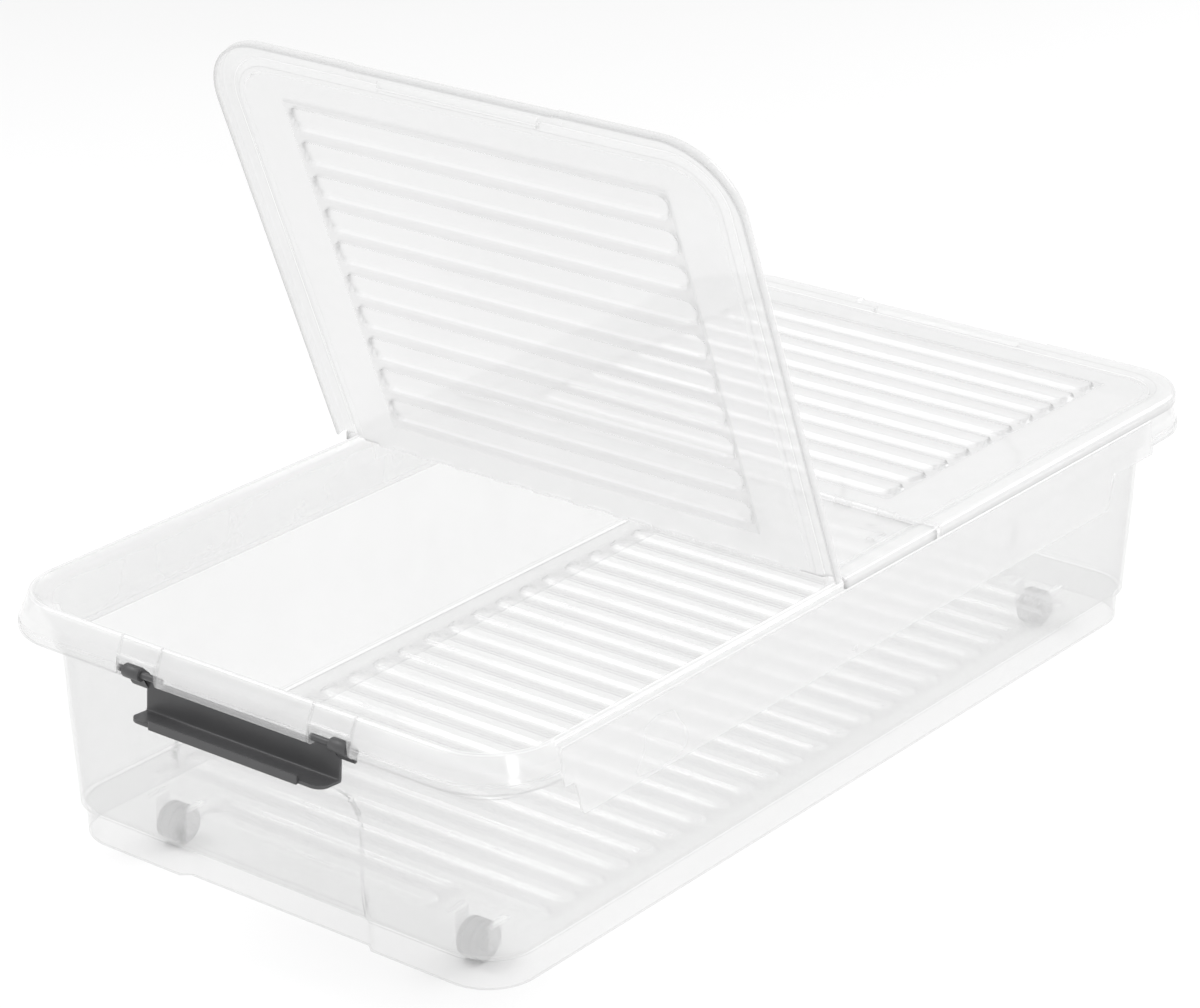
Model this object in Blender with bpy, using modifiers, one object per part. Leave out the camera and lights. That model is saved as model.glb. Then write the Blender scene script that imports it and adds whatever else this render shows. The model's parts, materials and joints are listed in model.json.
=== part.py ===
"""Under bed box on four small wheels, with a split folding lid and one latch.

Frame: X across the box, Y along it with the latched front end toward -Y, Z up.
The floor under the wheels is z = 0 and the box is centred on x = 0, y = 0.
All sizes are metres.  Offsets called "out" are measured square to the side of
the box, outward from the top line of the tub's rim, called the ridge.
"""
import math

import bmesh
import bpy
from mathutils import Matrix, Vector

# ---------------------------------------------------------------- overall
RIDGE_WIDTH = 0.400
RIDGE_LENGTH = 0.764
RIDGE_HEIGHT = 0.178
RIDGE_CORNER = 0.044
WALL = 0.0018
GAP = 0.0003
CORNER_STEPS = 5

# ---------------------------------------------------------------- tub
AXLE_ABOVE_FOOT = 0.0040
ARCH_ABOVE_FLOOR = 0.0022
FOOT_INSET = 0.0225
FOOT_CORNER = 0.034
FOOT_LEDGE = 0.0023
WALL_TOP_OUT = -0.0160
WALL_TOP_CORNER = 0.030
SHOULDER_DROP = 0.0370
SHOULDER_OUT = -0.0120
SKIRT_OUT = 0.0082
BEAD_OUT = 0.0092
BEAD_TOP_DROP = 0.0180
SKIRT_DROP = 0.0232

# ---------------------------------------------------------------- side grips
LEDGE_DROP = 0.0042
LEDGE_OUT = 0.0078
GRIP_DROP = 0.0530
GRIP_OUT = 0.0098
GRIP_FRONT_INSET = 0.0470
GRIP_FRONT_SHALLOW = 0.0180
GRIP_REAR_INSET = 0.0640
GRIP_REAR_SHALLOW = 0.0580
GRIP_SLANT = 0.0100
GRIP_SHALLOW_DROP = 0.0290

# ---------------------------------------------------------------- end panels
RECESS_HALF_WIDTH = 0.075
RECESS_TOP_DROP = 0.065
RECESS_DEPTH = 0.0045
RECESS_CORNER = 0.018

# ---------------------------------------------------------------- floor ribs
FLOOR_RIB_PITCH = 0.0264
FLOOR_RIB_END_MARGIN = 0.0650
FLOOR_RIB_SIDE_MARGIN = 0.0400
SHORT_RIB_MARGIN = 0.0113
RIB_WIDTH = 0.0140
RIB_HEIGHT = 0.0030
GROOVE_WIDTH = 0.0090
GROOVE_DEPTH = 0.0026

# ---------------------------------------------------------------- wheels
WHEEL_RADIUS = 0.0130
WHEEL_WIDTH = 0.0160
WHEEL_SIDE_INSET = 0.0757
WHEEL_END_INSET = 0.0694
AXLE_RADIUS = 0.0025
AXLE_LENGTH = 0.0272
AXLE_CLEARANCE = 0.0003
CHEEK_INNER = 0.0120
CHEEK_THICKNESS = 0.0020
CHEEK_HALF_LENGTH = 0.0060
ARCH_CLEARANCE = 0.0065
ARCH_HALF_WIDTH = 0.0170

# ---------------------------------------------------------------- lid
LID_OUT = 0.0070
LID_SKIRT_DROP = 0.0037
LID_RIDGE_RISE = 0.0042
LID_PANEL_RISE = 0.0014
HINGE_Y = 0.0540
HINGE_RISE = 0.0024
HINGE_EDGE = 0.0029
HINGE_BAR_RADIUS = 0.0013
HINGE_BLOCK_RADIUS = 0.0023
HINGE_CLIP_RADIUS = 0.0025
HINGE_PITCH = 0.0333
HINGE_SIDE_MARGIN = 0.0330
HINGE_BLOCK_WIDTH = 0.0135
LID_RIB_PITCH = 0.0266
LID_RIB_START = 0.0403
LID_RIB_END_MARGIN = 0.0480
LID_RIB_SIDE_MARGIN = 0.0500
LID_RIB_WIDTH = 0.0150
LID_RIB_HEIGHT = 0.0026
LID_GROOVE_WIDTH = 0.0100
LID_GROOVE_DEPTH = 0.0022
SLOT_CLEARANCE = 0.0020
OPEN_ANGLE = 68.3

# ---------------------------------------------------------------- latch
PIVOT_OUT = 0.0040
PIVOT_DROP = 0.0210
LATCH_HALF_WIDTH = 0.0780
LATCH_PLATE_OFFSET = 0.0058
LATCH_PLATE_THICKNESS = 0.0022
LATCH_REACH = 0.0268
LATCH_LIP = 0.0105
HOOK_INSET = 0.0180
HOOK_HEIGHT = 0.0052
EAR_OVERLAP = 0.0015
EAR_WIDTH = 0.0135
PIN_RADIUS = 0.0022
PIN_CLEARANCE = 0.0003
POCKET_INNER_ROOM = 0.0145
POCKET_OUTER_ROOM = 0.0025
POCKET_RIB = 0.0022
LATCH_SWING = 176.0

# ---------------------------------------------------------------- sizes that follow
HALF_X = RIDGE_WIDTH / 2
HALF_Y = RIDGE_LENGTH / 2
FOOT_CLEARANCE = WHEEL_RADIUS - AXLE_ABOVE_FOOT
ARCH_RADIUS = WHEEL_RADIUS + ARCH_CLEARANCE
FLOOR_TOP = WHEEL_RADIUS + ARCH_RADIUS - ARCH_ABOVE_FLOOR
FLOOR_UNDER = FLOOR_TOP - WALL
GRIP_FRONT_Y = GRIP_FRONT_INSET - HALF_Y
GRIP_DEEP_FRONT_Y = GRIP_FRONT_Y + GRIP_FRONT_SHALLOW
GRIP_REAR_Y = HALF_Y - GRIP_REAR_INSET
GRIP_DEEP_REAR_Y = GRIP_REAR_Y - GRIP_REAR_SHALLOW
RECESS_TOP = RIDGE_HEIGHT - RECESS_TOP_DROP
WHEEL_X = HALF_X - WHEEL_SIDE_INSET
WHEEL_Y = HALF_Y - WHEEL_END_INSET
FLOOR_RIB_HALF_LENGTH = HALF_X - FLOOR_RIB_SIDE_MARGIN
SHORT_RIB_HALF_LENGTH = WHEEL_X - ARCH_HALF_WIDTH - SHORT_RIB_MARGIN
HINGE_Z = RIDGE_HEIGHT + HINGE_RISE
LID_RIB_HALF_LENGTH = HALF_X - LID_RIB_SIDE_MARGIN
HOOK_HALF_WIDTH = LATCH_HALF_WIDTH - HOOK_INSET
SLOT_HALF_WIDTH = HOOK_HALF_WIDTH + SLOT_CLEARANCE
EAR_INNER = LATCH_HALF_WIDTH - EAR_OVERLAP
EAR_OUTER = EAR_INNER + EAR_WIDTH
POCKET_INNER = EAR_INNER - POCKET_INNER_ROOM
POCKET_OUTER = EAR_OUTER + POCKET_OUTER_ROOM


# ================================================================ helpers
def clear_scene():
    """Empty the file of every object."""
    for item in list(bpy.data.objects):
        bpy.data.objects.remove(item, do_unlink=True)


def make_collection(name):
    """Add a collection to the scene."""
    group = bpy.data.collections.new(name)
    bpy.context.scene.collection.children.link(group)
    return group


def make_material(name, colour, roughness, alpha=1.0):
    """One Principled material."""
    material = bpy.data.materials.new(name)
    material.use_nodes = True
    shader = material.node_tree.nodes["Principled BSDF"]
    shader.inputs["Base Color"].default_value = (*colour, 1.0)
    shader.inputs["Roughness"].default_value = roughness
    shader.inputs["Alpha"].default_value = alpha
    return material


def add_object(name, mesh, group, material=None):
    """Wrap a mesh in an object of the given collection."""
    item = bpy.data.objects.new(name, mesh)
    group.objects.link(item)
    if material is not None:
        mesh.materials.clear()
        mesh.materials.append(material)
    return item


def add_cutter(name, mesh):
    """A helper body, kept out of the finished part."""
    item = add_object(name, mesh, CUTTERS)
    item.hide_render = True
    item.display_type = "WIRE"
    return item


def combine(target, name, mesh, operation):
    """Add or cut a helper body with an exact Boolean."""
    helper = add_cutter(name, mesh)
    step = target.modifiers.new(name, "BOOLEAN")
    step.operation = operation
    step.solver = "EXACT"
    step.object = helper
    return helper


def tidy_mesh(bm, name):
    """Turn a bmesh into a mesh whose faces point outward."""
    bmesh.ops.recalc_face_normals(bm, faces=bm.faces)
    mesh = bpy.data.meshes.new(name)
    bm.to_mesh(mesh)
    bm.free()
    return mesh


def rounded_ring(half_x, half_y, corner, z):
    """Points round a rectangle with rounded corners, at height z."""
    points = []
    for quarter in range(4):
        sign_x = 1 if quarter in (0, 3) else -1
        sign_y = 1 if quarter in (0, 1) else -1
        for step in range(CORNER_STEPS + 1):
            angle = math.pi / 2 * (quarter + step / CORNER_STEPS)
            x = sign_x * (half_x - corner) + corner * math.cos(angle)
            y = sign_y * (half_y - corner) + corner * math.sin(angle)
            points.append(Vector((x, y, z)))
    return points


def ridge_ring(out, drop):
    """Ring parallel to the ridge: out sideways and drop below it."""
    return rounded_ring(HALF_X + out, HALF_Y + out, RIDGE_CORNER + out, RIDGE_HEIGHT - drop)


def loft(name, rings):
    """Closed skin through a run of rings, with a flat cap on each end ring."""
    bm = bmesh.new()
    rows = [[bm.verts.new(point) for point in ring] for ring in rings]
    for lower, upper in zip(rows, rows[1:]):
        count = len(lower)
        for i in range(count):
            j = (i + 1) % count
            bm.faces.new((lower[i], lower[j], upper[j], upper[i]))
    bm.faces.new(rows[0][::-1])
    bm.faces.new(rows[-1])
    return tidy_mesh(bm, name)


def slab(name, outline, start, end, axis):
    """Flat outline pushed along one axis from start to end.

    axis X takes (y, z) pairs, axis Y takes (x, z) pairs, axis Z takes (x, y).
    """
    curve = bpy.data.curves.new(name, "CURVE")
    curve.dimensions = "2D"
    curve.fill_mode = "BOTH"
    curve.extrude = (end - start) / 2
    spline = curve.splines.new("POLY")
    spline.points.add(len(outline) - 1)
    for point, (u, v) in zip(spline.points, outline):
        point.co = (u, v, 0.0, 1.0)
    spline.use_cyclic_u = True
    holder = bpy.data.objects.new(name, curve)
    flat = bpy.data.meshes.new_from_object(holder)
    bpy.data.objects.remove(holder, do_unlink=True)
    middle = (start + end) / 2
    turn = {
        "X": Matrix(((0, 0, 1, middle), (1, 0, 0, 0), (0, 1, 0, 0), (0, 0, 0, 1))),
        "Y": Matrix(((1, 0, 0, 0), (0, 0, -1, middle), (0, 1, 0, 0), (0, 0, 0, 1))),
        "Z": Matrix(((1, 0, 0, 0), (0, 1, 0, 0), (0, 0, 1, middle), (0, 0, 0, 1))),
    }[axis]
    bm = bmesh.new()
    bm.from_mesh(flat)
    bpy.data.meshes.remove(flat)
    bmesh.ops.remove_doubles(bm, verts=bm.verts, dist=1e-6)
    bmesh.ops.transform(bm, matrix=turn, verts=bm.verts)
    return tidy_mesh(bm, name)


def box_mesh(name, low, high):
    """Box between two opposite corners."""
    bm = bmesh.new()
    bmesh.ops.create_cube(bm, size=1.0)
    size = [b - a for a, b in zip(low, high)]
    centre = [(a + b) / 2 for a, b in zip(low, high)]
    bmesh.ops.scale(bm, vec=size, verts=bm.verts)
    bmesh.ops.translate(bm, vec=centre, verts=bm.verts)
    return tidy_mesh(bm, name)


def rod_mesh(name, radius, start, end, y, z, segments=16):
    """Round bar along X from start to end."""
    bm = bmesh.new()
    bmesh.ops.create_cone(
        bm, cap_ends=True, segments=segments, radius1=radius, radius2=radius, depth=end - start
    )
    bmesh.ops.rotate(bm, matrix=Matrix.Rotation(math.pi / 2, 3, "Y"), verts=bm.verts)
    bmesh.ops.translate(bm, vec=((start + end) / 2, y, z), verts=bm.verts)
    return tidy_mesh(bm, name)


def join_meshes(name, meshes):
    """Several separate bodies kept in one mesh."""
    bm = bmesh.new()
    for mesh in meshes:
        bm.from_mesh(mesh)
        bpy.data.meshes.remove(mesh)
    return tidy_mesh(bm, name)


def arc(centre, radius, start, end, steps):
    """Points on an arc, angles in degrees."""
    points = []
    for step in range(steps + 1):
        angle = math.radians(start + (end - start) * step / steps)
        points.append((centre[0] + radius * math.cos(angle), centre[1] + radius * math.sin(angle)))
    return points


def rib_outline(y, z, width, height, root):
    """Section of a low rounded rib whose root sits a little inside the plate."""
    half = width / 2
    return [
        (y - half, z - root),
        (y + half, z - root),
        (y + half, z),
        (y + half * 0.72, z + height * 0.72),
        (y + half * 0.34, z + height),
        (y - half * 0.34, z + height),
        (y - half * 0.72, z + height * 0.72),
        (y - half, z),
    ]


# ================================================================ tub
def tub_rings():
    """Rings of the tub's skin, from under the floor, over the rim, to the floor top."""
    foot_x = HALF_X - FOOT_INSET
    foot_y = HALF_Y - FOOT_INSET
    wall_x = foot_x + FOOT_LEDGE + 0.0007
    wall_y = foot_y + FOOT_LEDGE + 0.0007
    top_x = HALF_X + WALL_TOP_OUT
    top_y = HALF_Y + WALL_TOP_OUT
    shoulder_z = RIDGE_HEIGHT - SHOULDER_DROP
    ledge_z = FLOOR_TOP + 0.0002
    rings = [
        rounded_ring(foot_x - WALL, foot_y - WALL, FOOT_CORNER - WALL, FLOOR_UNDER),
        rounded_ring(foot_x - WALL, foot_y - WALL, FOOT_CORNER - WALL, FOOT_CLEARANCE),
        rounded_ring(foot_x, foot_y, FOOT_CORNER, FOOT_CLEARANCE),
        rounded_ring(foot_x + 0.0006, foot_y + 0.0006, FOOT_CORNER, FLOOR_UNDER + 0.0006),
        rounded_ring(wall_x, wall_y, FOOT_CORNER, ledge_z),
        rounded_ring(top_x, top_y, WALL_TOP_CORNER, shoulder_z - 0.0006),
    ]
    shoulder_corner = WALL_TOP_CORNER + 0.002
    shoulder_x = HALF_X + SHOULDER_OUT
    shoulder_y = HALF_Y + SHOULDER_OUT
    rings.append(rounded_ring(shoulder_x, shoulder_y, shoulder_corner, shoulder_z + 0.0006))
    rings.append(ridge_ring(-0.0112, 0.0250))
    rings.append(ridge_ring(-0.0084, 0.0185))
    rings.append(ridge_ring(-0.0046, 0.0115))
    rings.append(ridge_ring(-0.0022, 0.0050))
    rings.append(ridge_ring(-0.0004, 0.0021))
    rings.append(ridge_ring(0.0016, 0.0030))
    rings.append(ridge_ring(SKIRT_OUT - 0.0018, 0.0165))
    rings.append(ridge_ring(BEAD_OUT - 0.0018, SKIRT_DROP))
    rings.append(ridge_ring(BEAD_OUT, SKIRT_DROP))
    rings.append(ridge_ring(BEAD_OUT, BEAD_TOP_DROP))
    rings.append(ridge_ring(SKIRT_OUT, BEAD_TOP_DROP - 0.0005))
    rings.append(ridge_ring(0.0036, 0.0046))
    rings.append(ridge_ring(0.0018, 0.0010))
    rings.append(ridge_ring(0.0, 0.0))
    rings.append(ridge_ring(-0.0018, 0.0008))
    rings.append(ridge_ring(-0.0040, 0.0048))
    rings.append(ridge_ring(-0.0064, 0.0115))
    rings.append(ridge_ring(-0.0102, 0.0185))
    rings.append(ridge_ring(-0.0130, 0.0255))
    rings.append(
        rounded_ring(
            shoulder_x - WALL,
            shoulder_y - WALL,
            shoulder_corner - WALL,
            shoulder_z + 0.0020,
        )
    )
    rings.append(rounded_ring(top_x - WALL, top_y - WALL, WALL_TOP_CORNER - WALL, shoulder_z))
    rings.append(
        rounded_ring(wall_x - WALL, wall_y - WALL, FOOT_CORNER - WALL, FLOOR_TOP + 0.0030)
    )
    rings.append(rounded_ring(wall_x - 0.0045, wall_y - 0.0045, FOOT_CORNER - 0.0045, FLOOR_TOP))
    return rings


def grip_mesh():
    """Solid side grips: a ledge beside the ridge and a deep flat apron below it."""
    parts = []
    for side in (-1, 1):
        section = [
            (0.0012, 0.0022),
            (0.0026, 0.0038),
            (LEDGE_OUT - 0.0006, LEDGE_DROP - 0.0002),
            (LEDGE_OUT, LEDGE_DROP + 0.0006),
            (GRIP_OUT, GRIP_DROP),
            (GRIP_OUT - WALL, GRIP_DROP),
            (LEDGE_OUT - 0.0004, SKIRT_DROP - 0.0010),
            (LEDGE_OUT - 0.0008, BEAD_TOP_DROP - 0.0010),
            (0.0022, 0.0050),
        ]
        outline = [(side * (HALF_X + out), RIDGE_HEIGHT - drop) for out, drop in section]
        parts.append(slab("grip", outline, GRIP_FRONT_Y, GRIP_REAR_Y, "Y"))
    return join_meshes("side_grips", parts)


def grip_corner_mesh():
    """Bodies that trim the lower corners of both aprons to their slanted ends."""
    parts = []
    low = RIDGE_HEIGHT - GRIP_DROP - 0.004
    high = RIDGE_HEIGHT - GRIP_SHALLOW_DROP
    for side in (-1, 1):
        inner = side * (HALF_X + 0.0020)
        outer = side * (HALF_X + GRIP_OUT + 0.0040)
        for end, deep, tip in ((-1, GRIP_DEEP_FRONT_Y, GRIP_FRONT_Y), (1, GRIP_DEEP_REAR_Y, GRIP_REAR_Y)):
            outline = [
                (deep, low),
                (tip + end * 0.010, low),
                (tip + end * 0.010, high),
                (deep + end * GRIP_SLANT, high),
            ]
            parts.append(slab("trim", outline, min(inner, outer), max(inner, outer), "X"))
    return join_meshes("grip_trims", parts)


def end_panel_outline(grow):
    """Outline of the recessed panel in an end wall, round at its top corners."""
    half = RECESS_HALF_WIDTH + grow
    top = RECESS_TOP + grow
    corner = RECESS_CORNER + grow
    points = [(-half, FOOT_CLEARANCE), (half, FOOT_CLEARANCE)]
    points += arc((half - corner, top - corner), corner, 0, 90, 4)
    points += arc((-half + corner, top - corner), corner, 90, 180, 4)
    return points


def leaning_slab(name, outline, end, shallow, deep):
    """Slab between two depths inside the leaning outer face of an end wall."""
    foot_y = HALF_Y - FOOT_INSET + FOOT_LEDGE
    height = RIDGE_HEIGHT - SHOULDER_DROP - FLOOR_TOP
    lean = (HALF_Y + WALL_TOP_OUT - foot_y) / height
    mesh = slab(name, outline, 0.0, 1.0, "Y")
    for vertex in mesh.vertices:
        face_y = foot_y + lean * (vertex.co.z - FLOOR_TOP)
        depth = shallow if vertex.co.y > 0.5 else deep
        vertex.co.y = end * (face_y - depth)
    bm = bmesh.new()
    bm.from_mesh(mesh)
    bpy.data.meshes.remove(mesh)
    return tidy_mesh(bm, name)


def rib_rows():
    """Place and half length of every floor rib."""
    rows = []
    reach = math.floor((HALF_Y - FLOOR_RIB_END_MARGIN) / FLOOR_RIB_PITCH)
    for place in range(-reach, reach + 1):
        y = place * FLOOR_RIB_PITCH
        short = abs(abs(y) - WHEEL_Y) < ARCH_RADIUS
        half = SHORT_RIB_HALF_LENGTH if short else FLOOR_RIB_HALF_LENGTH
        rows.append((y, half))
    return rows


def floor_rib_mesh():
    """Rounded ribs across the floor."""
    parts = []
    for y, half in rib_rows():
        outline = rib_outline(y, FLOOR_TOP, RIB_WIDTH, RIB_HEIGHT, 0.0008)
        parts.append(slab("rib", outline, -half, half, "X"))
    return join_meshes("floor_ribs", parts)


def floor_groove_mesh():
    """Hollows under the floor ribs."""
    parts = []
    for y, half in rib_rows():
        near_arch = abs(y) > WHEEL_Y - ARCH_RADIUS - RIB_WIDTH
        reach = SHORT_RIB_HALF_LENGTH if near_arch else half
        outline = rib_outline(y, FLOOR_UNDER, GROOVE_WIDTH, GROOVE_DEPTH, 0.0010)
        parts.append(slab("groove", outline, 0.0040 - reach, reach - 0.0040, "X"))
    return join_meshes("floor_grooves", parts)


def wheel_places():
    """Centres of the four wheels."""
    return [(side * WHEEL_X, end * WHEEL_Y) for side in (-1, 1) for end in (-1, 1)]


def arch_mesh(name, radius, half_width, floor_z):
    """Round-topped arches over the four wheels, standing on floor_z."""
    parts = []
    for x, y in wheel_places():
        rise = floor_z - WHEEL_RADIUS
        start = math.degrees(math.asin(rise / radius))
        outline = arc((y, WHEEL_RADIUS), radius, start, 180 - start, 8)
        parts.append(slab("arch", outline, x - half_width, x + half_width, "X"))
    return join_meshes(name, parts)


def cheek_mesh():
    """Hanging cheeks that carry the wheel axles."""
    parts = []
    top = WHEEL_RADIUS + ARCH_RADIUS - WALL / 2 - 0.0012
    for x, y in wheel_places():
        for side in (-1, 1):
            near = x + side * CHEEK_INNER
            far = x + side * (CHEEK_INNER + CHEEK_THICKNESS)
            low = (min(near, far), y - CHEEK_HALF_LENGTH, FOOT_CLEARANCE + 0.0006)
            high = (max(near, far), y + CHEEK_HALF_LENGTH, top)
            parts.append(box_mesh("cheek", low, high))
    return join_meshes("wheel_cheeks", parts)


def axle_cut_mesh():
    """Keyhole cuts through the cheeks: a round seat and a snap-in slot below."""
    parts = []
    seat = AXLE_RADIUS + AXLE_CLEARANCE
    reach = CHEEK_INNER + CHEEK_THICKNESS + 0.0006
    slot = AXLE_RADIUS * 0.85
    for x, y in wheel_places():
        outline = arc((y, WHEEL_RADIUS), seat, -58, 238, 14)
        outline += [(y - slot, FOOT_CLEARANCE - 0.002), (y + slot, FOOT_CLEARANCE - 0.002)]
        parts.append(slab("keyhole", outline, x - reach, x + reach, "X"))
    return join_meshes("axle_seats", parts)


def pocket_rib_mesh():
    """Upright ribs beside the latch pockets, tying the rim's skirt to its flange."""
    parts = []
    section = [
        (-0.0095, 0.0185),
        (-0.0056, 0.0118),
        (-0.0026, 0.0042),
        (0.0002, 0.0012),
        (0.0020, 0.0022),
        (0.0074, 0.0172),
        (0.0082, 0.0228),
        (0.0076, 0.0248),
        (0.0040, 0.0252),
        (0.0004, 0.0240),
        (-0.0020, 0.0212),
    ]
    for end in (-1, 1):
        outline = [(end * (HALF_Y + out), RIDGE_HEIGHT - drop) for out, drop in section]
        for side in (-1, 1):
            for near, far in (
                (POCKET_INNER - POCKET_RIB, POCKET_INNER),
                (POCKET_OUTER, POCKET_OUTER + POCKET_RIB),
            ):
                low, high = sorted((side * near, side * far))
                parts.append(slab("pocket_rib", outline, low, high, "X"))
    return join_meshes("pocket_ribs", parts)


def pocket_window_mesh():
    """Windows through the skirt in which the latch ears swing."""
    parts = []
    low = RIDGE_HEIGHT - SKIRT_DROP - 0.004
    high = RIDGE_HEIGHT - PIVOT_DROP + 0.0095
    for end in (-1, 1):
        faces = sorted((end * (HALF_Y + 0.0026), end * (HALF_Y + 0.0150)))
        for side in (-1, 1):
            ends = sorted((side * POCKET_INNER, side * POCKET_OUTER))
            parts.append(box_mesh("window", (ends[0], faces[0], low), (ends[1], faces[1], high)))
    return join_meshes("pocket_windows", parts)


def pin_seat_mesh():
    """Round seats for the latch pins through the pocket ribs."""
    parts = []
    radius = PIN_RADIUS + PIN_CLEARANCE
    z = RIDGE_HEIGHT - PIVOT_DROP
    for end in (-1, 1):
        y = end * (HALF_Y + PIVOT_OUT)
        for side in (-1, 1):
            for near, far in (
                (POCKET_INNER - POCKET_RIB - 0.0006, POCKET_INNER + 0.0006),
                (POCKET_OUTER - 0.0006, POCKET_OUTER + POCKET_RIB + 0.0006),
            ):
                low, high = sorted((side * near, side * far))
                parts.append(rod_mesh("pin_seat", radius, low, high, y, z))
    return join_meshes("pin_seats", parts)


def build_tub():
    """The clear tub: foot, ribbed floor, walls, rim, grips and wheel arches."""
    tub = add_object("tub", loft("tub", tub_rings()), PARTS, CLEAR)
    combine(tub, "side_grips", grip_mesh(), "UNION")
    combine(tub, "grip_trims", grip_corner_mesh(), "DIFFERENCE")
    pads = []
    recesses = []
    for end in (-1, 1):
        pads.append(
            leaning_slab("pad", end_panel_outline(WALL), end, 0.0009, RECESS_DEPTH + WALL)
        )
        recesses.append(
            leaning_slab("recess", end_panel_outline(0.0), end, -0.0060, RECESS_DEPTH)
        )
    for mesh in recesses:
        for vertex in mesh.vertices:
            if vertex.co.z < FOOT_CLEARANCE + 0.0001:
                vertex.co.z -= 0.003
    combine(tub, "end_pads", join_meshes("end_pads", pads), "UNION")
    combine(tub, "end_recesses", join_meshes("end_recesses", recesses), "DIFFERENCE")
    combine(tub, "floor_ribs", floor_rib_mesh(), "UNION")
    arches = arch_mesh("wheel_arches", ARCH_RADIUS, ARCH_HALF_WIDTH, FLOOR_UNDER + 0.0008)
    combine(tub, "wheel_arches", arches, "UNION")
    hollows = arch_mesh(
        "arch_hollows", ARCH_RADIUS - WALL, ARCH_HALF_WIDTH - WALL, FLOOR_UNDER - 0.0040
    )
    combine(tub, "arch_hollows", hollows, "DIFFERENCE")
    combine(tub, "floor_grooves", floor_groove_mesh(), "DIFFERENCE")
    combine(tub, "wheel_cheeks", cheek_mesh(), "UNION")
    combine(tub, "axle_seats", axle_cut_mesh(), "DIFFERENCE")
    combine(tub, "pocket_ribs", pocket_rib_mesh(), "UNION")
    combine(tub, "pocket_windows", pocket_window_mesh(), "DIFFERENCE")
    combine(tub, "pin_seats", pin_seat_mesh(), "DIFFERENCE")
    return tub


# ================================================================ lid
def lid_blank():
    """Whole lid before it is divided: flat middle, raised border and short skirt."""
    top = LID_RIDGE_RISE
    panel = LID_PANEL_RISE
    section = [
        (-0.0092, -(panel - WALL)),
        (-0.0068, -(panel - WALL + 0.0001)),
        (-0.0034, -(top - WALL - 0.0009)),
        (0.0002, -(top - WALL)),
        (0.0030, -(top - WALL)),
        (0.0046, -(top - WALL - 0.0007)),
        (LID_OUT - WALL, -(top - WALL - 0.0018)),
        (LID_OUT - WALL, LID_SKIRT_DROP),
        (LID_OUT, LID_SKIRT_DROP),
        (LID_OUT, -(top - 0.0024)),
        (LID_OUT - 0.0010, -(top - 0.0008)),
        (LID_OUT - 0.0034, -top),
        (0.0005, -top),
        (-0.0025, -(top - 0.0008)),
        (-0.0062, -(panel + 0.0004)),
        (-0.0090, -panel),
    ]
    return loft("lid_blank", [ridge_ring(out, drop) for out, drop in section])


def keep_span(target, name, low_y, high_y):
    """Keep only the part of the lid between two cross planes."""
    low = (-HALF_X - 0.05, low_y, RIDGE_HEIGHT - 0.05)
    high = (HALF_X + 0.05, high_y, RIDGE_HEIGHT + 0.05)
    combine(target, name, box_mesh(name, low, high), "INTERSECT")


def lid_rib_rows(end):
    """Y places of the ribs on the panel at the given end."""
    room = HALF_Y - HINGE_Y - LID_RIB_START - LID_RIB_END_MARGIN
    count = 1 + math.floor(room / LID_RIB_PITCH)
    return [end * (HINGE_Y + LID_RIB_START + index * LID_RIB_PITCH) for index in range(count)]


def lid_rib_mesh(name, end):
    """Rounded ribs across a lid panel."""
    z = RIDGE_HEIGHT + LID_PANEL_RISE
    parts = []
    for y in lid_rib_rows(end):
        outline = rib_outline(y, z, LID_RIB_WIDTH, LID_RIB_HEIGHT, 0.0008)
        parts.append(slab("rib", outline, -LID_RIB_HALF_LENGTH, LID_RIB_HALF_LENGTH, "X"))
    return join_meshes(name, parts)


def lid_groove_mesh(name, end):
    """Hollows under the lid ribs."""
    z = RIDGE_HEIGHT + LID_PANEL_RISE - WALL
    reach = LID_RIB_HALF_LENGTH - 0.0030
    parts = []
    for y in lid_rib_rows(end):
        outline = rib_outline(y, z, LID_GROOVE_WIDTH, LID_GROOVE_DEPTH, 0.0010)
        parts.append(slab("groove", outline, -reach, reach, "X"))
    return join_meshes(name, parts)


def slot_pad_mesh(name, end):
    """Sunken trough in the lid border that takes the hook of the latch."""
    half = SLOT_HALF_WIDTH + WALL
    outline = [
        (end * (HALF_Y - 0.0104), RIDGE_HEIGHT + LID_PANEL_RISE - 0.0006),
        (end * (HALF_Y - 0.0104), RIDGE_HEIGHT - 0.0024),
        (end * (HALF_Y - 0.0040), RIDGE_HEIGHT - 0.0024),
        (end * (HALF_Y - 0.0022), RIDGE_HEIGHT + 0.0028),
        (end * (HALF_Y - 0.0032), RIDGE_HEIGHT + 0.0032),
    ]
    return slab(name, outline, -half, half, "X")


def slot_cut_mesh(name, end):
    """Room above the trough and across the border for the closed latch."""
    floor_z = RIDGE_HEIGHT - 0.0008
    trough = [
        (end * (HALF_Y - 0.0087), RIDGE_HEIGHT + 0.0100),
        (end * (HALF_Y - 0.0087), floor_z),
        (end * (HALF_Y - 0.0044), floor_z),
        (end * (HALF_Y - 0.0030), RIDGE_HEIGHT + 0.0100),
    ]
    return slab(name, trough, -SLOT_HALF_WIDTH, SLOT_HALF_WIDTH, "X")


def border_cut_mesh(name, end):
    """Shallow saddle in the border under the latch lip."""
    reach = LATCH_HALF_WIDTH + 0.0020
    faces = sorted((end * (HALF_Y - 0.0120), end * (HALF_Y + 0.0120)))
    low = (-reach, faces[0], RIDGE_HEIGHT + LID_RIDGE_RISE - 0.0009)
    high = (reach, faces[1], RIDGE_HEIGHT + 0.0100)
    return box_mesh(name, low, high)


def hinge_block_places():
    """X centres of the knuckle blocks moulded on a lid panel."""
    reach = math.floor((HALF_X - HINGE_SIDE_MARGIN) / HINGE_PITCH)
    return [place * HINGE_PITCH for place in range(-reach, reach + 1)]


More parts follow.
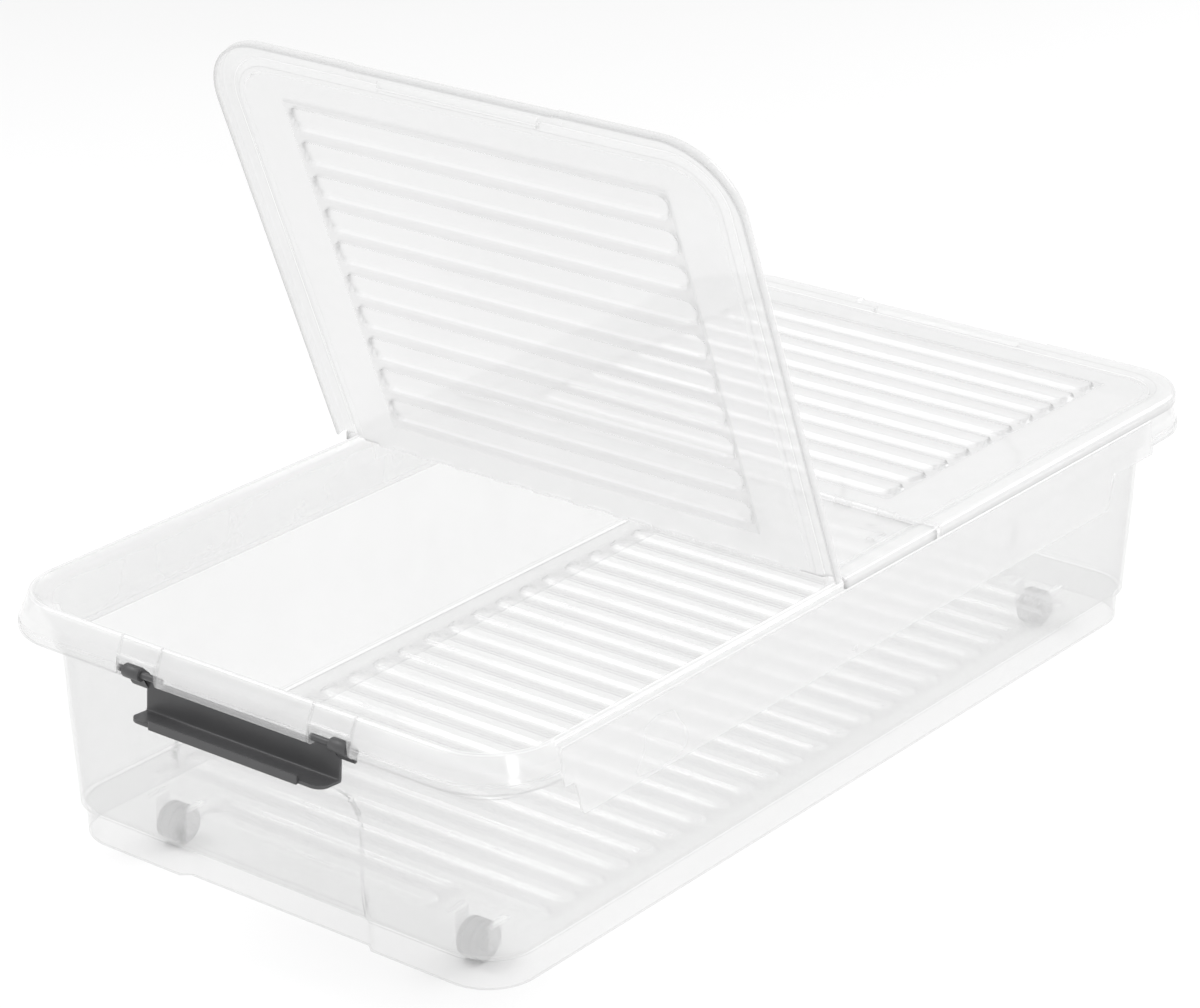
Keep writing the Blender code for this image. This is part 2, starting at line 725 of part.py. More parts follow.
def hinge_block_mesh(name, end):
    """Knuckle blocks that hold the hinge bar to a lid panel."""
    parts = []
    y = end * HINGE_Y
    for x in hinge_block_places():
        start, finish = (-90, 160) if end < 0 else (270, 20)
        outline = arc((y, HINGE_Z), HINGE_BLOCK_RADIUS, start, finish, 10)
        outline.append((y + end * 0.0046, HINGE_Z - 0.0014))
        outline.append((y + end * 0.0046, HINGE_Z - 0.0026))
        half = HINGE_BLOCK_WIDTH / 2
        parts.append(slab("block", outline, x - half, x + half, "X"))
    return join_meshes(name, parts)


def build_panel(name, end, rest_angle):
    """One lid panel with its ribs, latch trough and hinge bar."""
    panel = add_object(name, lid_blank(), PARTS, CLEAR)
    near = end * (HINGE_Y + HINGE_EDGE)
    far = end * (HALF_Y + 0.05)
    keep_span(panel, name + "_span", min(near, far), max(near, far))
    combine(panel, name + "_ribs", lid_rib_mesh(name + "_ribs", end), "UNION")
    combine(panel, name + "_grooves", lid_groove_mesh(name + "_grooves", end), "DIFFERENCE")
    combine(panel, name + "_trough", slot_pad_mesh(name + "_trough", end), "UNION")
    combine(panel, name + "_slot", slot_cut_mesh(name + "_slot", end), "DIFFERENCE")
    combine(panel, name + "_saddle", border_cut_mesh(name + "_saddle", end), "DIFFERENCE")
    combine(panel, name + "_blocks", hinge_block_mesh(name + "_blocks", end), "UNION")
    reach = hinge_block_places()[-1] + HINGE_BLOCK_WIDTH / 2
    bar = rod_mesh(name + "_bar", HINGE_BAR_RADIUS, -reach, reach, end * HINGE_Y, HINGE_Z, 12)
    combine(panel, name + "_bar", bar, "UNION")
    turn_about_axis(panel, end * HINGE_Y, HINGE_Z, rest_angle)
    return panel


def turn_about_axis(item, y, z, angle):
    """Give an object and its helpers the rest turn about an axis along X."""
    pivot = bpy.data.objects.new(item.name + "_axis", None)
    PARTS.objects.link(pivot)
    pivot.location = (0.0, y, z)
    pivot.rotation_euler = (math.radians(angle), 0.0, 0.0)
    for body in [item] + [step.object for step in item.modifiers]:
        body.parent = pivot
        body.location = (0.0, -y, -z)


def hinge_clip_mesh(name):
    """Open clips on the bridge that snap over both hinge bars."""
    parts = []
    inner = HINGE_BAR_RADIUS + GAP
    places = hinge_block_places()
    width = HINGE_PITCH - HINGE_BLOCK_WIDTH - 0.0010
    for end in (-1, 1):
        y = end * HINGE_Y
        for first, second in zip(places, places[1:]):
            x = (first + second) / 2
            if end < 0:
                outer_arc = arc((y, HINGE_Z), HINGE_CLIP_RADIUS, -20, 200, 10)
                inner_arc = arc((y, HINGE_Z), inner, 200, -60, 12)
            else:
                outer_arc = arc((y, HINGE_Z), HINGE_CLIP_RADIUS, 200, -20, 10)
                inner_arc = arc((y, HINGE_Z), inner, -20, 240, 12)
            foot = [
                (y - end * 0.0012, HINGE_Z - 0.0026),
                (y - end * 0.0046, HINGE_Z - 0.0026),
                (y - end * 0.0046, HINGE_Z - 0.0012),
            ]
            parts.append(slab("clip", outer_arc + inner_arc + foot, x - width / 2, x + width / 2, "X"))
    return join_meshes(name, parts)


def bridge_pad_mesh(name):
    """Small raised pads near both ends of the bridge."""
    z = RIDGE_HEIGHT + LID_PANEL_RISE
    parts = []
    for side in (-1, 1):
        faces = sorted((side * (HALF_X - 0.0210), side * (HALF_X - 0.0160)))
        parts.append(
            box_mesh("pad", (faces[0], 0.0120, z - 0.0008), (faces[1], 0.0260, z + 0.0024))
        )
    return join_meshes(name, parts)


def bridge_snap_mesh(name):
    """Snap tongues that drop inside the rim and hold the bridge to the tub."""
    parts = []
    for side in (-1, 1):
        for place in (-0.040, 0.040):
            outline = [
                (side * (HALF_X - 0.0098), RIDGE_HEIGHT + LID_PANEL_RISE - 0.0008),
                (side * (HALF_X - 0.0114), RIDGE_HEIGHT + LID_PANEL_RISE - 0.0008),
                (side * (HALF_X - 0.0150), RIDGE_HEIGHT - 0.0150),
                (side * (HALF_X - 0.0126), RIDGE_HEIGHT - 0.0150),
            ]
            parts.append(slab("tongue", outline, place - 0.0060, place + 0.0060, "Y"))
    return join_meshes(name, parts)


def build_bridge():
    """Fixed strip across the middle of the lid, between the two hinges."""
    bridge = add_object("lid_bridge", lid_blank(), PARTS, CLEAR)
    reach = HINGE_Y - HINGE_EDGE
    keep_span(bridge, "bridge_span", -reach, reach)
    combine(bridge, "bridge_clips", hinge_clip_mesh("bridge_clips"), "UNION")
    combine(bridge, "bridge_pads", bridge_pad_mesh("bridge_pads"), "UNION")
    combine(bridge, "bridge_tongues", bridge_snap_mesh("bridge_tongues"), "UNION")
    return bridge


# ================================================================ latch
def latch_point(away, rise):
    """Place of a latch point in its closed pose: away from the pivot and above it."""
    return (-(HALF_Y + PIVOT_OUT + away), RIDGE_HEIGHT - PIVOT_DROP + rise)


def build_latch():
    """Dark handle that swings up from two pivots and hooks over the lid border."""
    near = LATCH_PLATE_OFFSET
    far = near + LATCH_PLATE_THICKNESS
    top = LATCH_REACH
    lip_under = top - LATCH_PLATE_THICKNESS
    plate = [
        (near, 0.0010),
        (far, 0.0010),
        (far, top - 0.0012),
        (far - 0.0012, top),
        (-LATCH_LIP, top),
        (-LATCH_LIP, lip_under),
        (near, lip_under),
    ]
    outline = [latch_point(away, rise) for away, rise in plate]
    mesh = slab("front_latch", outline, -LATCH_HALF_WIDTH, LATCH_HALF_WIDTH, "X")
    latch = add_object("front_latch", mesh, PARTS, DARK)
    hook = [
        (-LATCH_LIP + 0.0001, top + 0.0006),
        (-LATCH_LIP - 0.0013, top + 0.0006),
        (-LATCH_LIP - 0.0013, top - HOOK_HEIGHT),
        (-LATCH_LIP + 0.0006, top - HOOK_HEIGHT),
        (-LATCH_LIP + 0.0018, top - LATCH_PLATE_THICKNESS + 0.0004),
    ]
    outline = [latch_point(away, rise) for away, rise in hook]
    mesh = slab("latch_hook", outline, -HOOK_HALF_WIDTH, HOOK_HALF_WIDTH, "X")
    combine(latch, "latch_hook", mesh, "UNION")
    ears = []
    pins = []
    y = -(HALF_Y + PIVOT_OUT)
    z = RIDGE_HEIGHT - PIVOT_DROP
    for side in (-1, 1):
        ear = arc((0.0, 0.0), 0.0042, 90, 290, 8)
        ear += [(near, -0.0010), (far, 0.0010), (far, 0.0078), (near, 0.0078), (0.0032, 0.0046)]
        outline = [latch_point(away, rise) for away, rise in ear]
        low, high = sorted((side * EAR_INNER, side * EAR_OUTER))
        ears.append(slab("ear", outline, low, high, "X"))
        low, high = sorted((side * (POCKET_INNER - POCKET_RIB), side * (EAR_INNER + 0.004)))
        pins.append(rod_mesh("pin", PIN_RADIUS, low, high, y, z))
        low, high = sorted((side * (EAR_OUTER - 0.004), side * (POCKET_OUTER + POCKET_RIB + 0.0012)))
        pins.append(rod_mesh("pin", PIN_RADIUS, low, high, y, z))
    combine(latch, "latch_ears", join_meshes("latch_ears", ears), "UNION")
    combine(latch, "latch_pins", join_meshes("latch_pins", pins), "UNION")
    turn_about_axis(latch, y, z, LATCH_SWING)
    return latch


# ================================================================ wheels
def wheel_mesh():
    """Half outline of a crowned wheel with stub axles, ready to be turned."""
    half = WHEEL_WIDTH / 2
    stub = AXLE_LENGTH / 2
    r = WHEEL_RADIUS
    profile = [
        (stub, 0.0),
        (stub, AXLE_RADIUS - 0.0004),
        (stub - 0.0004, AXLE_RADIUS),
        (half + 0.0012, AXLE_RADIUS),
        (half + 0.0010, r * 0.45),
        (half - 0.0004, r * 0.50),
        (half - 0.0004, r * 0.80),
        (half, r * 0.86),
        (half - 0.0008, r * 0.96),
        (half * 0.62, r * 0.995),
        (half * 0.55, r * 0.93),
        (half * 0.42, r * 0.93),
        (half * 0.35, r),
    ]
    mirrored = [(-x, radius) for x, radius in reversed(profile)]
    points = profile + mirrored
    bm = bmesh.new()
    verts = [bm.verts.new((radius, 0.0, x)) for x, radius in points]
    for first, second in zip(verts, verts[1:]):
        bm.edges.new((first, second))
    mesh = bpy.data.meshes.new("wheel")
    bm.to_mesh(mesh)
    bm.free()
    return mesh


def build_wheels():
    """Four like wheels, each turned about its own axle."""
    mesh = wheel_mesh()
    names = {
        (-1, -1): "wheel_front_left",
        (1, -1): "wheel_front_right",
        (-1, 1): "wheel_rear_left",
        (1, 1): "wheel_rear_right",
    }
    mesh.materials.append(GREY)
    for (side, end), name in names.items():
        wheel = bpy.data.objects.new(name, mesh)
        PARTS.objects.link(wheel)
        turn = wheel.modifiers.new("turn", "SCREW")
        turn.axis = "Z"
        turn.steps = 20
        turn.render_steps = 20
        turn.use_merge_vertices = True
        turn.merge_threshold = 0.00001
        turn.use_smooth_shade = True
        wheel.rotation_euler = (0.0, math.pi / 2, 0.0)
        wheel.location = (side * WHEEL_X, end * WHEEL_Y, WHEEL_RADIUS)


clear_scene()
PARTS = make_collection("under_bed_box")
CUTTERS = make_collection("cutters")
CLEAR = make_material("clear_plastic", (0.86, 0.87, 0.88), 0.16, 0.35)
DARK = make_material("dark_grey_plastic", (0.045, 0.045, 0.048), 0.42)
GREY = make_material("grey_plastic", (0.42, 0.42, 0.43), 0.45)
build_tub()
build_panel("front_lid_panel", -1, -OPEN_ANGLE)
build_panel("rear_lid_panel", 1, 0.0)
build_bridge()
build_latch()
build_wheels()
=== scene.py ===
"""Looks of a clear under bed box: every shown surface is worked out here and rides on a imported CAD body.

Frame: metres, X across the box, Y along it with the latched front end toward -Y, Z up from the floor.
"Out" is a distance outward from the rim's top line, called the ridge, square to the side of the box.
"""

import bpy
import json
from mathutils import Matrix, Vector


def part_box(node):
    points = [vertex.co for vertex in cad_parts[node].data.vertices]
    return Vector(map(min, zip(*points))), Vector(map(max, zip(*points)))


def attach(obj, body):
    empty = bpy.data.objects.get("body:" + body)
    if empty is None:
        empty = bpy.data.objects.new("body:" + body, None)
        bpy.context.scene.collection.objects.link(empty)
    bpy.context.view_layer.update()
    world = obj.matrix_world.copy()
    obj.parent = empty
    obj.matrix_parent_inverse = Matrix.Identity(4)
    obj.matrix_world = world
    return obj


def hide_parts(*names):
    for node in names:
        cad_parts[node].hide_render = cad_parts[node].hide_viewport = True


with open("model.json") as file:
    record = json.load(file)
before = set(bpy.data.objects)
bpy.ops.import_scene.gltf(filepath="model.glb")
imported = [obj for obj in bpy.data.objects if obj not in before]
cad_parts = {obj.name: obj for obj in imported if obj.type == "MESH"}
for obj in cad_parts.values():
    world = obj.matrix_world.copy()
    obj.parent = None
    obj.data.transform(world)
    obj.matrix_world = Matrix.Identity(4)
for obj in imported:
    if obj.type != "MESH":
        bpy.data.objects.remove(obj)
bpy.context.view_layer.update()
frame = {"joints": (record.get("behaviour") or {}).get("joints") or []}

import json
import math

import bmesh
import bpy
import numpy as np
from bpy.props import FloatProperty, FloatVectorProperty, IntProperty, PointerProperty
from mathutils import Vector

bl_info = {
    "name": "Under Bed Box Looks",
    "version": (1, 0, 0),
    "blender": (4, 5, 0),
    "location": "3D View > Sidebar > Bed Box",
    "description": "Builds the shown surfaces of a clear rolling under bed box",
    "category": "Add Mesh",
}

JOINTS = {joint["name"]: joint for joint in frame["joints"]}
TUB_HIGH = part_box("tub")[1]
WHEEL_LOW, WHEEL_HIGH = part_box("wheel_rear_right")
WHEEL_X = (WHEEL_LOW.x + WHEEL_HIGH.x) / 2
WHEEL_Y = (WHEEL_LOW.y + WHEEL_HIGH.y) / 2
WHEEL_Z = (WHEEL_LOW.z + WHEEL_HIGH.z) / 2
HINGE_HALF = abs(JOINTS["front_lid_hinge"]["pos_m"][1])
HINGE_Z = JOINTS["front_lid_hinge"]["pos_m"][2]
OPEN_TURN = -JOINTS["front_lid_hinge"]["range_deg"][0]
PIVOT = JOINTS["front_latch_hinge"]["pos_m"]
LATCH_TURN = JOINTS["front_latch_hinge"]["range_deg"][1]

# Crest and slope of the ribs, as shares of their pitch.
FLOOR_RIB = (0.40, 0.14)
LID_RIB = (0.50, 0.13)
# Fixed measures of the mouldings, in metres.
FOLD_LINES = (0.0609, 0.0936)
POCKET_INNER, POCKET_OUTER, POCKET_RIB = 0.0620, 0.0925, 0.0022
SKIRT_EDGE, SKIRT_BEAD = 0.0232, 0.0184
NOTCH_RISE, NOTCH_BEAD_RISE = 0.0115, 0.0080
GRIP_SHALLOW, GRIP_EDGE = 0.0290, 0.0016
RECESS_CORNER, RECESS_EDGE = 0.018, 0.0007
FLOOR_INSET, FLOOR_CORNER = 0.0242, 0.0293
RIB_MARGIN, SHORT_RIB_HALF = 0.065, 0.096
ARCH_RADIUS, ARCH_HALF = 0.0195, 0.0164
CHEEK_NEAR, CHEEK_FAR = 0.0122, 0.0138
BORDER_INSET = 0.0150
SADDLE_HALF, SADDLE_DEPTH = 0.080, 0.0009
TROUGH_HALF, TROUGH_DEPTH = 0.062, 0.0034
FIELD_START, FIELD_END, FIELD_MARGIN = 0.0250, 0.2925, 0.0034
PAD_INNER, PAD_OUTER = 0.1790, 0.1838
KNUCKLE_PITCH, KNUCKLE_MARGIN, KNUCKLE_HALF = 0.0333, 0.033, 0.00675
HINGE_BAR, KNUCKLE_ROUND = 0.0013, 0.0023
LATCH_HALF, LIP_END, LIP_CORNER = 0.078, -0.0105, 0.0080
HOOK_HALF = 0.060
PIN_RADIUS = 0.0022
# Angle, in degrees, past which an edge is shaded sharp.
SHARP_ANGLE = 40.0
LOOK_AT = Vector((-0.0394, 0.0154, 0.1473))


# ---------------------------------------------------------------- sizes and colours
def length(name, description, default):
    """A size in metres."""
    return FloatProperty(name=name, description=description, default=default, unit="LENGTH", precision=5)


def colour(name, description, default):
    """A colour without alpha."""
    return FloatVectorProperty(
        name=name, description=description, default=default, subtype="COLOR", size=3, min=0.0, max=1.0
    )


class TubSizes(bpy.types.PropertyGroup):
    """Sizes of the clear tub."""

    half_width: length("Half width", "From the middle to the ridge, across", TUB_HIGH.x - 0.0098)
    half_length: length("Half length", "From the middle to the ridge, along", TUB_HIGH.y - 0.0092)
    ridge_z: length("Ridge height", "Top of the rim above the floor", TUB_HIGH.z)
    ridge_corner: length("Ridge corner", "Corner radius of the ridge", 0.044)
    wall: length("Wall", "Thickness of the moulded sheet", 0.0018)
    floor_z: length("Floor height", "Top of the tub's floor", 0.0303)
    grip_drop: length("Grip depth", "How far the side aprons hang below the ridge", 0.053)
    grip_front: length("Grip front end", "Where the side grips end at the front", -0.335)
    grip_rear: length("Grip rear end", "Where the side grips end at the rear", 0.318)
    deep_front: length("Deep front end", "Where the deep part of the grips ends at the front", -0.317)
    deep_rear: length("Deep rear end", "Where the deep part of the grips ends at the rear", 0.260)
    grip_slant: length("Grip slant", "Length of the slanting step at both ends of the deep part", 0.010)
    recess_half: length("Recess half width", "Half width of the recess in the end walls", 0.075)
    recess_top: length("Recess top", "Height of the top of that recess", 0.113)
    recess_depth: length("Recess depth", "Depth of that recess", 0.0045)
    rib_pitch: length("Rib pitch", "Spacing of the floor ribs", 0.0264)
    rib_height: length("Rib height", "Height of the floor ribs", 0.0030)
    rib_half: length("Rib half length", "Half length of the floor ribs", 0.160)


class LidSizes(bpy.types.PropertyGroup):
    """Sizes of the two lid panels and the bridge between them."""

    plateau: length("Plateau rise", "Height of the flat of the lid above the ridge", 0.0014)
    border: length("Border rise", "Height of the lid's raised border above the ridge", 0.0042)
    skirt: length("Skirt drop", "How far the lid's skirt hangs below the ridge", 0.0037)
    hinge_edge: length("Hinge edge", "From the hinge axis to the edge of a panel", 0.0029)
    rib_first: length("First rib", "From the hinge axis to the first rib", 0.0403)
    rib_pitch: length("Rib pitch", "Spacing of the lid ribs", 0.0266)
    rib_height: length("Rib height", "Height of the lid ribs", 0.0026)
    rib_half: length("Rib half length", "Half length of the lid ribs", 0.147)
    rib_count: IntProperty(name="Ribs", description="Ribs on each panel", default=10, min=1)


class FinishColours(bpy.types.PropertyGroup):
    """Colours of the plastics and of the studio floor."""

    tub: colour("Tub", "Tint of the clear tub", (0.70, 0.70, 0.70))
    lid: colour("Lid", "Tint of the clear lid", (0.82, 0.82, 0.82))
    latch: colour("Latch", "Colour of the dark latch", (0.066, 0.066, 0.068))
    wheel: colour("Wheel", "Colour of the grey wheels", (0.062, 0.062, 0.066))
    studio: colour("Studio floor", "Colour of the floor it stands on", (0.90, 0.90, 0.90))


class StudioView(bpy.types.PropertyGroup):
    """Where the camera stands."""

    azimuth: FloatProperty(
        name="Azimuth", description="Angle round the box", default=math.radians(38.02), subtype="ANGLE"
    )
    elevation: FloatProperty(
        name="Elevation", description="Angle above the floor", default=math.radians(22.485), subtype="ANGLE"
    )
    distance: length("Distance", "From the camera to the point it looks at", 2.6467)
    lens: FloatProperty(name="Lens", description="Focal length in millimetres", default=117.93, min=10.0)


# ---------------------------------------------------------------- shapes from numpy
def smoothstep(low, high, value):
    """3t^2 - 2t^3 with t running from 0 at low to 1 at high."""
    t = np.clip((value - low) / (high - low), 0.0, 1.0)
    return t * t * (3.0 - 2.0 * t)


def window(value, low, high, edge):
    """1 between low and high, falling to 0 over the edge width outside them."""
    return smoothstep(low - edge, low, value) * (1.0 - smoothstep(high, high + edge, value))


def wave(phase, crest, slope):
    """Rounded trapezoid of period 1 centred on whole phases: 1 over the crest share, 0 past the slopes."""
    away = np.abs(phase - np.round(phase))
    return 1.0 - smoothstep(crest / 2, crest / 2 + slope, away)


def slope_rows(crest, slope):
    """Where rows of points stand across one rib, in pitches from its middle: the middle and both slopes."""
    side = crest / 2 + slope * np.linspace(0.0, 1.0, 5)
    return np.concatenate([-side[::-1], [0.0], side])


def spread(low, high, step, places=(), offsets=()):
    """Numbers from low to high about one step apart, with extra ones at the offsets round each place."""
    count = max(2, int(math.ceil((high - low) / step)) + 1)
    extra = np.add.outer(np.array(places, float), np.array(offsets, float)).ravel()
    inside = extra[(extra > low) & (extra < high)]
    values = np.unique(np.round(np.concatenate([np.linspace(low, high, count), inside]), 6))
    keep = np.concatenate([[True], np.diff(values) > 1.5e-4])
    values = values[keep]
    values[-1] = high
    return values


def fillet(keys, radius, closed):
    """Each corner of a polyline becomes three points of the parabola tangent to its two sides.

    keys has the polyline's points along its second last axis, placed by their first two numbers.  The
    cut along each side is the radius, or 0.4 of the side where that is less.
    """
    before = np.roll(keys, 1, axis=-2) - keys
    after = np.roll(keys, -1, axis=-2) - keys
    long_before = np.linalg.norm(before[..., :2], axis=-1, keepdims=True) + 1e-12
    long_after = np.linalg.norm(after[..., :2], axis=-1, keepdims=True) + 1e-12
    start = keys + before / long_before * np.minimum(radius, 0.4 * long_before)
    end = keys + after / long_after * np.minimum(radius, 0.4 * long_after)
    middle = 0.25 * start + 0.5 * keys + 0.25 * end
    points = np.stack([start, middle, end], axis=-2)
    points = points.reshape(*keys.shape[:-2], -1, keys.shape[-1])
    if closed:
        return points
    return np.concatenate([keys[..., :1, :], points[..., 3:-3, :], keys[..., -1:, :]], axis=-2)


def lined(keys, radius, closed):
    """Filleted keys whose last number, a narrow painted line (a painted highlight above 0, a painted dark
    edge line below 0), is added to the painted light at each corner.
    """
    points = fillet(keys[..., :-1], radius, closed)
    if closed:
        points[..., 1::3, -1] += keys[..., -1]
    else:
        points[..., 2:-1:3, -1] += keys[..., 1:-1, -1]
        points[..., 0, -1] += keys[..., 0, -1]
        points[..., -1, -1] += keys[..., -1, -1]
    return points


def densify(points, longest, closed):
    """Straight pieces of a polyline longer than the limit are cut into equal parts."""
    ends = np.roll(points, -1, axis=-2) if closed else points[..., 1:, :]
    starts = points if closed else points[..., :-1, :]
    reach = np.linalg.norm((ends - starts)[..., :2], axis=-1)
    reach = reach.reshape(-1, reach.shape[-1]).max(axis=0)
    parts = np.maximum(1, np.ceil(reach / longest)).astype(int)
    index = np.repeat(np.arange(len(parts)), parts)
    first = np.repeat(np.cumsum(parts) - parts, parts)
    share = ((np.arange(parts.sum()) - first) / np.repeat(parts, parts))[:, None]
    cut = starts[..., index, :] * (1.0 - share) + ends[..., index, :] * share
    return cut if closed else np.concatenate([cut, points[..., -1:, :]], axis=-2)


def quads(rows, columns, wrap_rows=False, wrap_columns=False):
    """Corner numbers of the quads of a grid of points, optionally closed on itself."""
    down = np.arange(rows if wrap_rows else rows - 1)
    along = np.arange(columns if wrap_columns else columns - 1)
    i, j = np.meshgrid(down, along, indexing="ij")
    i, j = i.ravel(), j.ravel()
    k, m = (i + 1) % rows, (j + 1) % columns
    return np.stack([i * columns + j, i * columns + m, k * columns + m, k * columns + j], axis=1)


def toned(points, tone=0.0):
    """Points with their painted light value as a fourth number."""
    return np.concatenate([points, np.broadcast_to(tone, points.shape[:-1])[..., None]], axis=-1)


def facing_out(points, faces):
    """The body with its faces turned outward, judged by the sign of the volume it encloses."""
    a, b, c, d = (points[faces[:, n], :3] for n in range(4))
    volume = np.einsum("ij,ij->i", a, np.cross(b, c)) + np.einsum("ij,ij->i", a, np.cross(c, d))
    return (points, faces if volume.sum() > 0 else faces[:, ::-1])


def tube(points):
    """Closed body from a grid whose rows and columns both close on themselves."""
    rows, columns, _ = points.shape
    return facing_out(points.reshape(-1, 4), quads(rows, columns, True, True))


def sheet(top, bottom):
    """Closed body between two like grids: both faces and the four edge strips between them."""
    rows, columns, _ = top.shape
    face = quads(rows, columns)
    shift = rows * columns
    number = np.arange(shift).reshape(rows, columns)
    edge = np.concatenate([number[0], number[1:, -1], number[-1, -2::-1], number[-2:0:-1, 0]])
    following = np.roll(edge, -1)
    strip = np.stack([edge, edge + shift, following + shift, following], axis=1)
    points = np.concatenate([top.reshape(-1, 4), bottom.reshape(-1, 4)])
    return facing_out(points, np.concatenate([face, face[:, ::-1] + shift, strip]))


def prism(outline, start, end, edge=0.0003):
    """Outline in Y and Z carried along X, its two ends drawn in by the edge and closed to their middles."""
    middle = outline.mean(axis=0)
    size = np.abs(outline - middle).max()
    shrink = 1.0 - edge / size
    first = [(start, 0.0), (start, shrink), (start + edge, 1.0)]
    last = [(end - edge, 1.0), (end, shrink), (end, 0.0)]
    stations = np.array(first + last)
    flat = middle + (outline - middle)[None] * stations[:, 1, None, None]
    along = np.broadcast_to(stations[:, 0, None, None], (*flat.shape[:2], 1))
    points = toned(np.concatenate([along, flat], axis=2))
    return facing_out(points.reshape(-1, 4), quads(len(stations), len(outline), False, True))


def lathe(profile, steps):
    """Profile of (x, radius) pairs turned about the X axis, closed at both ends on the axis."""
    angle = np.linspace(0.0, 2.0 * np.pi, steps, endpoint=False)
    x = np.broadcast_to(profile[:, 0, None], (len(profile), steps))
    y = profile[:, 1, None] * np.cos(angle)
    z = profile[:, 1, None] * np.sin(angle)
    points = toned(np.stack([x, y, z], axis=2))
    return facing_out(points.reshape(-1, 4), quads(len(profile), steps, False, True))


def strip_body(outer, inner, x, narrow=1.0, lip_end=None):
    """Bent strip between two like lines in Y and Z, carried along X.

    It is narrowed by a share at each station, and cut off before its own lip end there.
    """
    middle = (outer + inner) / 2
    lines = []
    for line in (outer, inner):
        grid = middle + (line - middle) * np.broadcast_to(narrow, len(x))[:, None, None]
        if lip_end is not None:
            away = np.maximum(grid[..., 0], lip_end[:, None])
            grid = np.stack([away, grid[..., 1]], axis=2)
        along = np.broadcast_to(x[:, None, None], (len(x), len(line), 1))
        lines.append(toned(np.concatenate([along, grid], axis=2)))
    return sheet(*lines)


def moved(body, x=0.0, y=0.0, z=0.0):
    """The body shifted."""
    return (body[0] + np.array([x, y, z, 0.0]), body[1])


def turned(body, y, z, degrees):
    """The body turned about the line along X through y and z."""
    angle = math.radians(degrees)
    spin = np.eye(4)
    spin[1:3, 1:3] = [[math.cos(angle), -math.sin(angle)], [math.sin(angle), math.cos(angle)]]
    pivot = np.array([0.0, y, z, 0.0])
    return ((body[0] - pivot) @ spin.T + pivot, body[1])


def mirrored(body, axis):
    """The body mirrored along one axis, its faces turned back outward."""
    sign = np.ones(4)
    sign[axis] = -1.0
    return (body[0] * sign, body[1][:, ::-1])


def make_piece(name, bodies, finish, rides, replaces=()):
    """One mesh object from closed bodies, smooth shaded up to the sharp angle, riding on a CAD body.

    Clear pieces cast no shadow and are left out of bounced light.
    """
    counts = np.cumsum([0] + [len(points) for points, _ in bodies])
    points = np.concatenate([body[0] for body in bodies])
    faces = np.concatenate([body[1] + start for body, start in zip(bodies, counts)])
    mesh = bpy.data.meshes.new(name)
    mesh.from_pydata(points[:, :3], [], faces.tolist())
    # Each point's fourth number, its painted light, goes on the mesh so the clear finishes can paint
    # highlights and shade from it.
    tone = mesh.attributes.new("tone", "FLOAT", "POINT")
    tone.data.foreach_set("value", points[:, 3].astype(np.float32))
    bm = bmesh.new()
    bm.from_mesh(mesh)
    bmesh.ops.remove_doubles(bm, verts=bm.verts, dist=1e-7)
    bmesh.ops.dissolve_degenerate(bm, edges=bm.edges, dist=1e-7)
    bm.to_mesh(mesh)
    bm.free()
    mesh.polygons.foreach_set("use_smooth", np.ones(len(mesh.polygons), bool))
    mesh.set_sharp_from_angle(angle=math.radians(SHARP_ANGLE))
    mesh.materials.append(finish)
    item = bpy.data.objects.new(name, mesh)
    bpy.context.scene.collection.objects.link(item)
    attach(item, rides)
    if replaces:
        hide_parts(*replaces)
    item.visible_shadow = not finish.name.startswith("clear")
    item.visible_diffuse = item.visible_shadow


# ---------------------------------------------------------------- finishes
def start_finish(name):
    """An empty material with its Principled shader and its Object coordinates."""
    finish = bpy.data.materials.new(name)
    finish.use_nodes = True
    tree = finish.node_tree
    shader = tree.nodes["Principled BSDF"]
    place = tree.nodes.new("ShaderNodeTexCoord").outputs["Object"]
    return finish, tree, shader, place


def noise(tree, place, scale, detail=3.0, stretch=None):
    """Noise on the given coordinates, optionally stretched."""
    if stretch is not None:
        mapping = tree.nodes.new("ShaderNodeMapping")
        mapping.inputs["Scale"].default_value = stretch
        tree.links.new(place, mapping.inputs["Vector"])
        place = mapping.outputs["Vector"]
    made = tree.nodes.new("ShaderNodeTexNoise")
    made.inputs["Scale"].default_value = scale
    made.inputs["Detail"].default_value = detail
    tree.links.new(place, made.inputs["Vector"])
    return made.outputs["Fac"]


def remap(tree, source, from_low, from_high, to_low, to_high):
    """The source carried from one range to another and held inside it."""
    made = tree.nodes.new("ShaderNodeMapRange")
    made.inputs["From Min"].default_value = from_low
    made.inputs["From Max"].default_value = from_high
    made.inputs["To Min"].default_value = to_low
    made.inputs["To Max"].default_value = to_high
    tree.links.new(source, made.inputs["Value"])
    return made.outputs["Result"]


def blend_colours(tree, share, first, second):
    """Mix of two colours by a share."""
    made = tree.nodes.new("ShaderNodeMix")
    made.data_type = "RGBA"
    made.inputs[6].default_value = (*first, 1.0)
    made.inputs[7].default_value = (*second, 1.0)
    tree.links.new(share, made.inputs[0])
    return made.outputs[2]


def add_bump(tree, shader, height, strength, distance):
    """Fine relief on the shader's normal."""
    made = tree.nodes.new("ShaderNodeBump")
    made.inputs["Strength"].default_value = strength
    made.inputs["Distance"].default_value = distance
    tree.links.new(height, made.inputs["Height"])
    tree.links.new(made.outputs["Normal"], shader.inputs["Normal"])


def math_node(tree, operation, first, second):
    """One sum, product or power of two sources or numbers."""
    made = tree.nodes.new("ShaderNodeMath")
    made.operation = operation
    for index, source in enumerate((first, second)):
        if isinstance(source, float):
            made.inputs[index].default_value = source
        else:
            tree.links.new(source, made.inputs[index])
    return made.outputs[0]


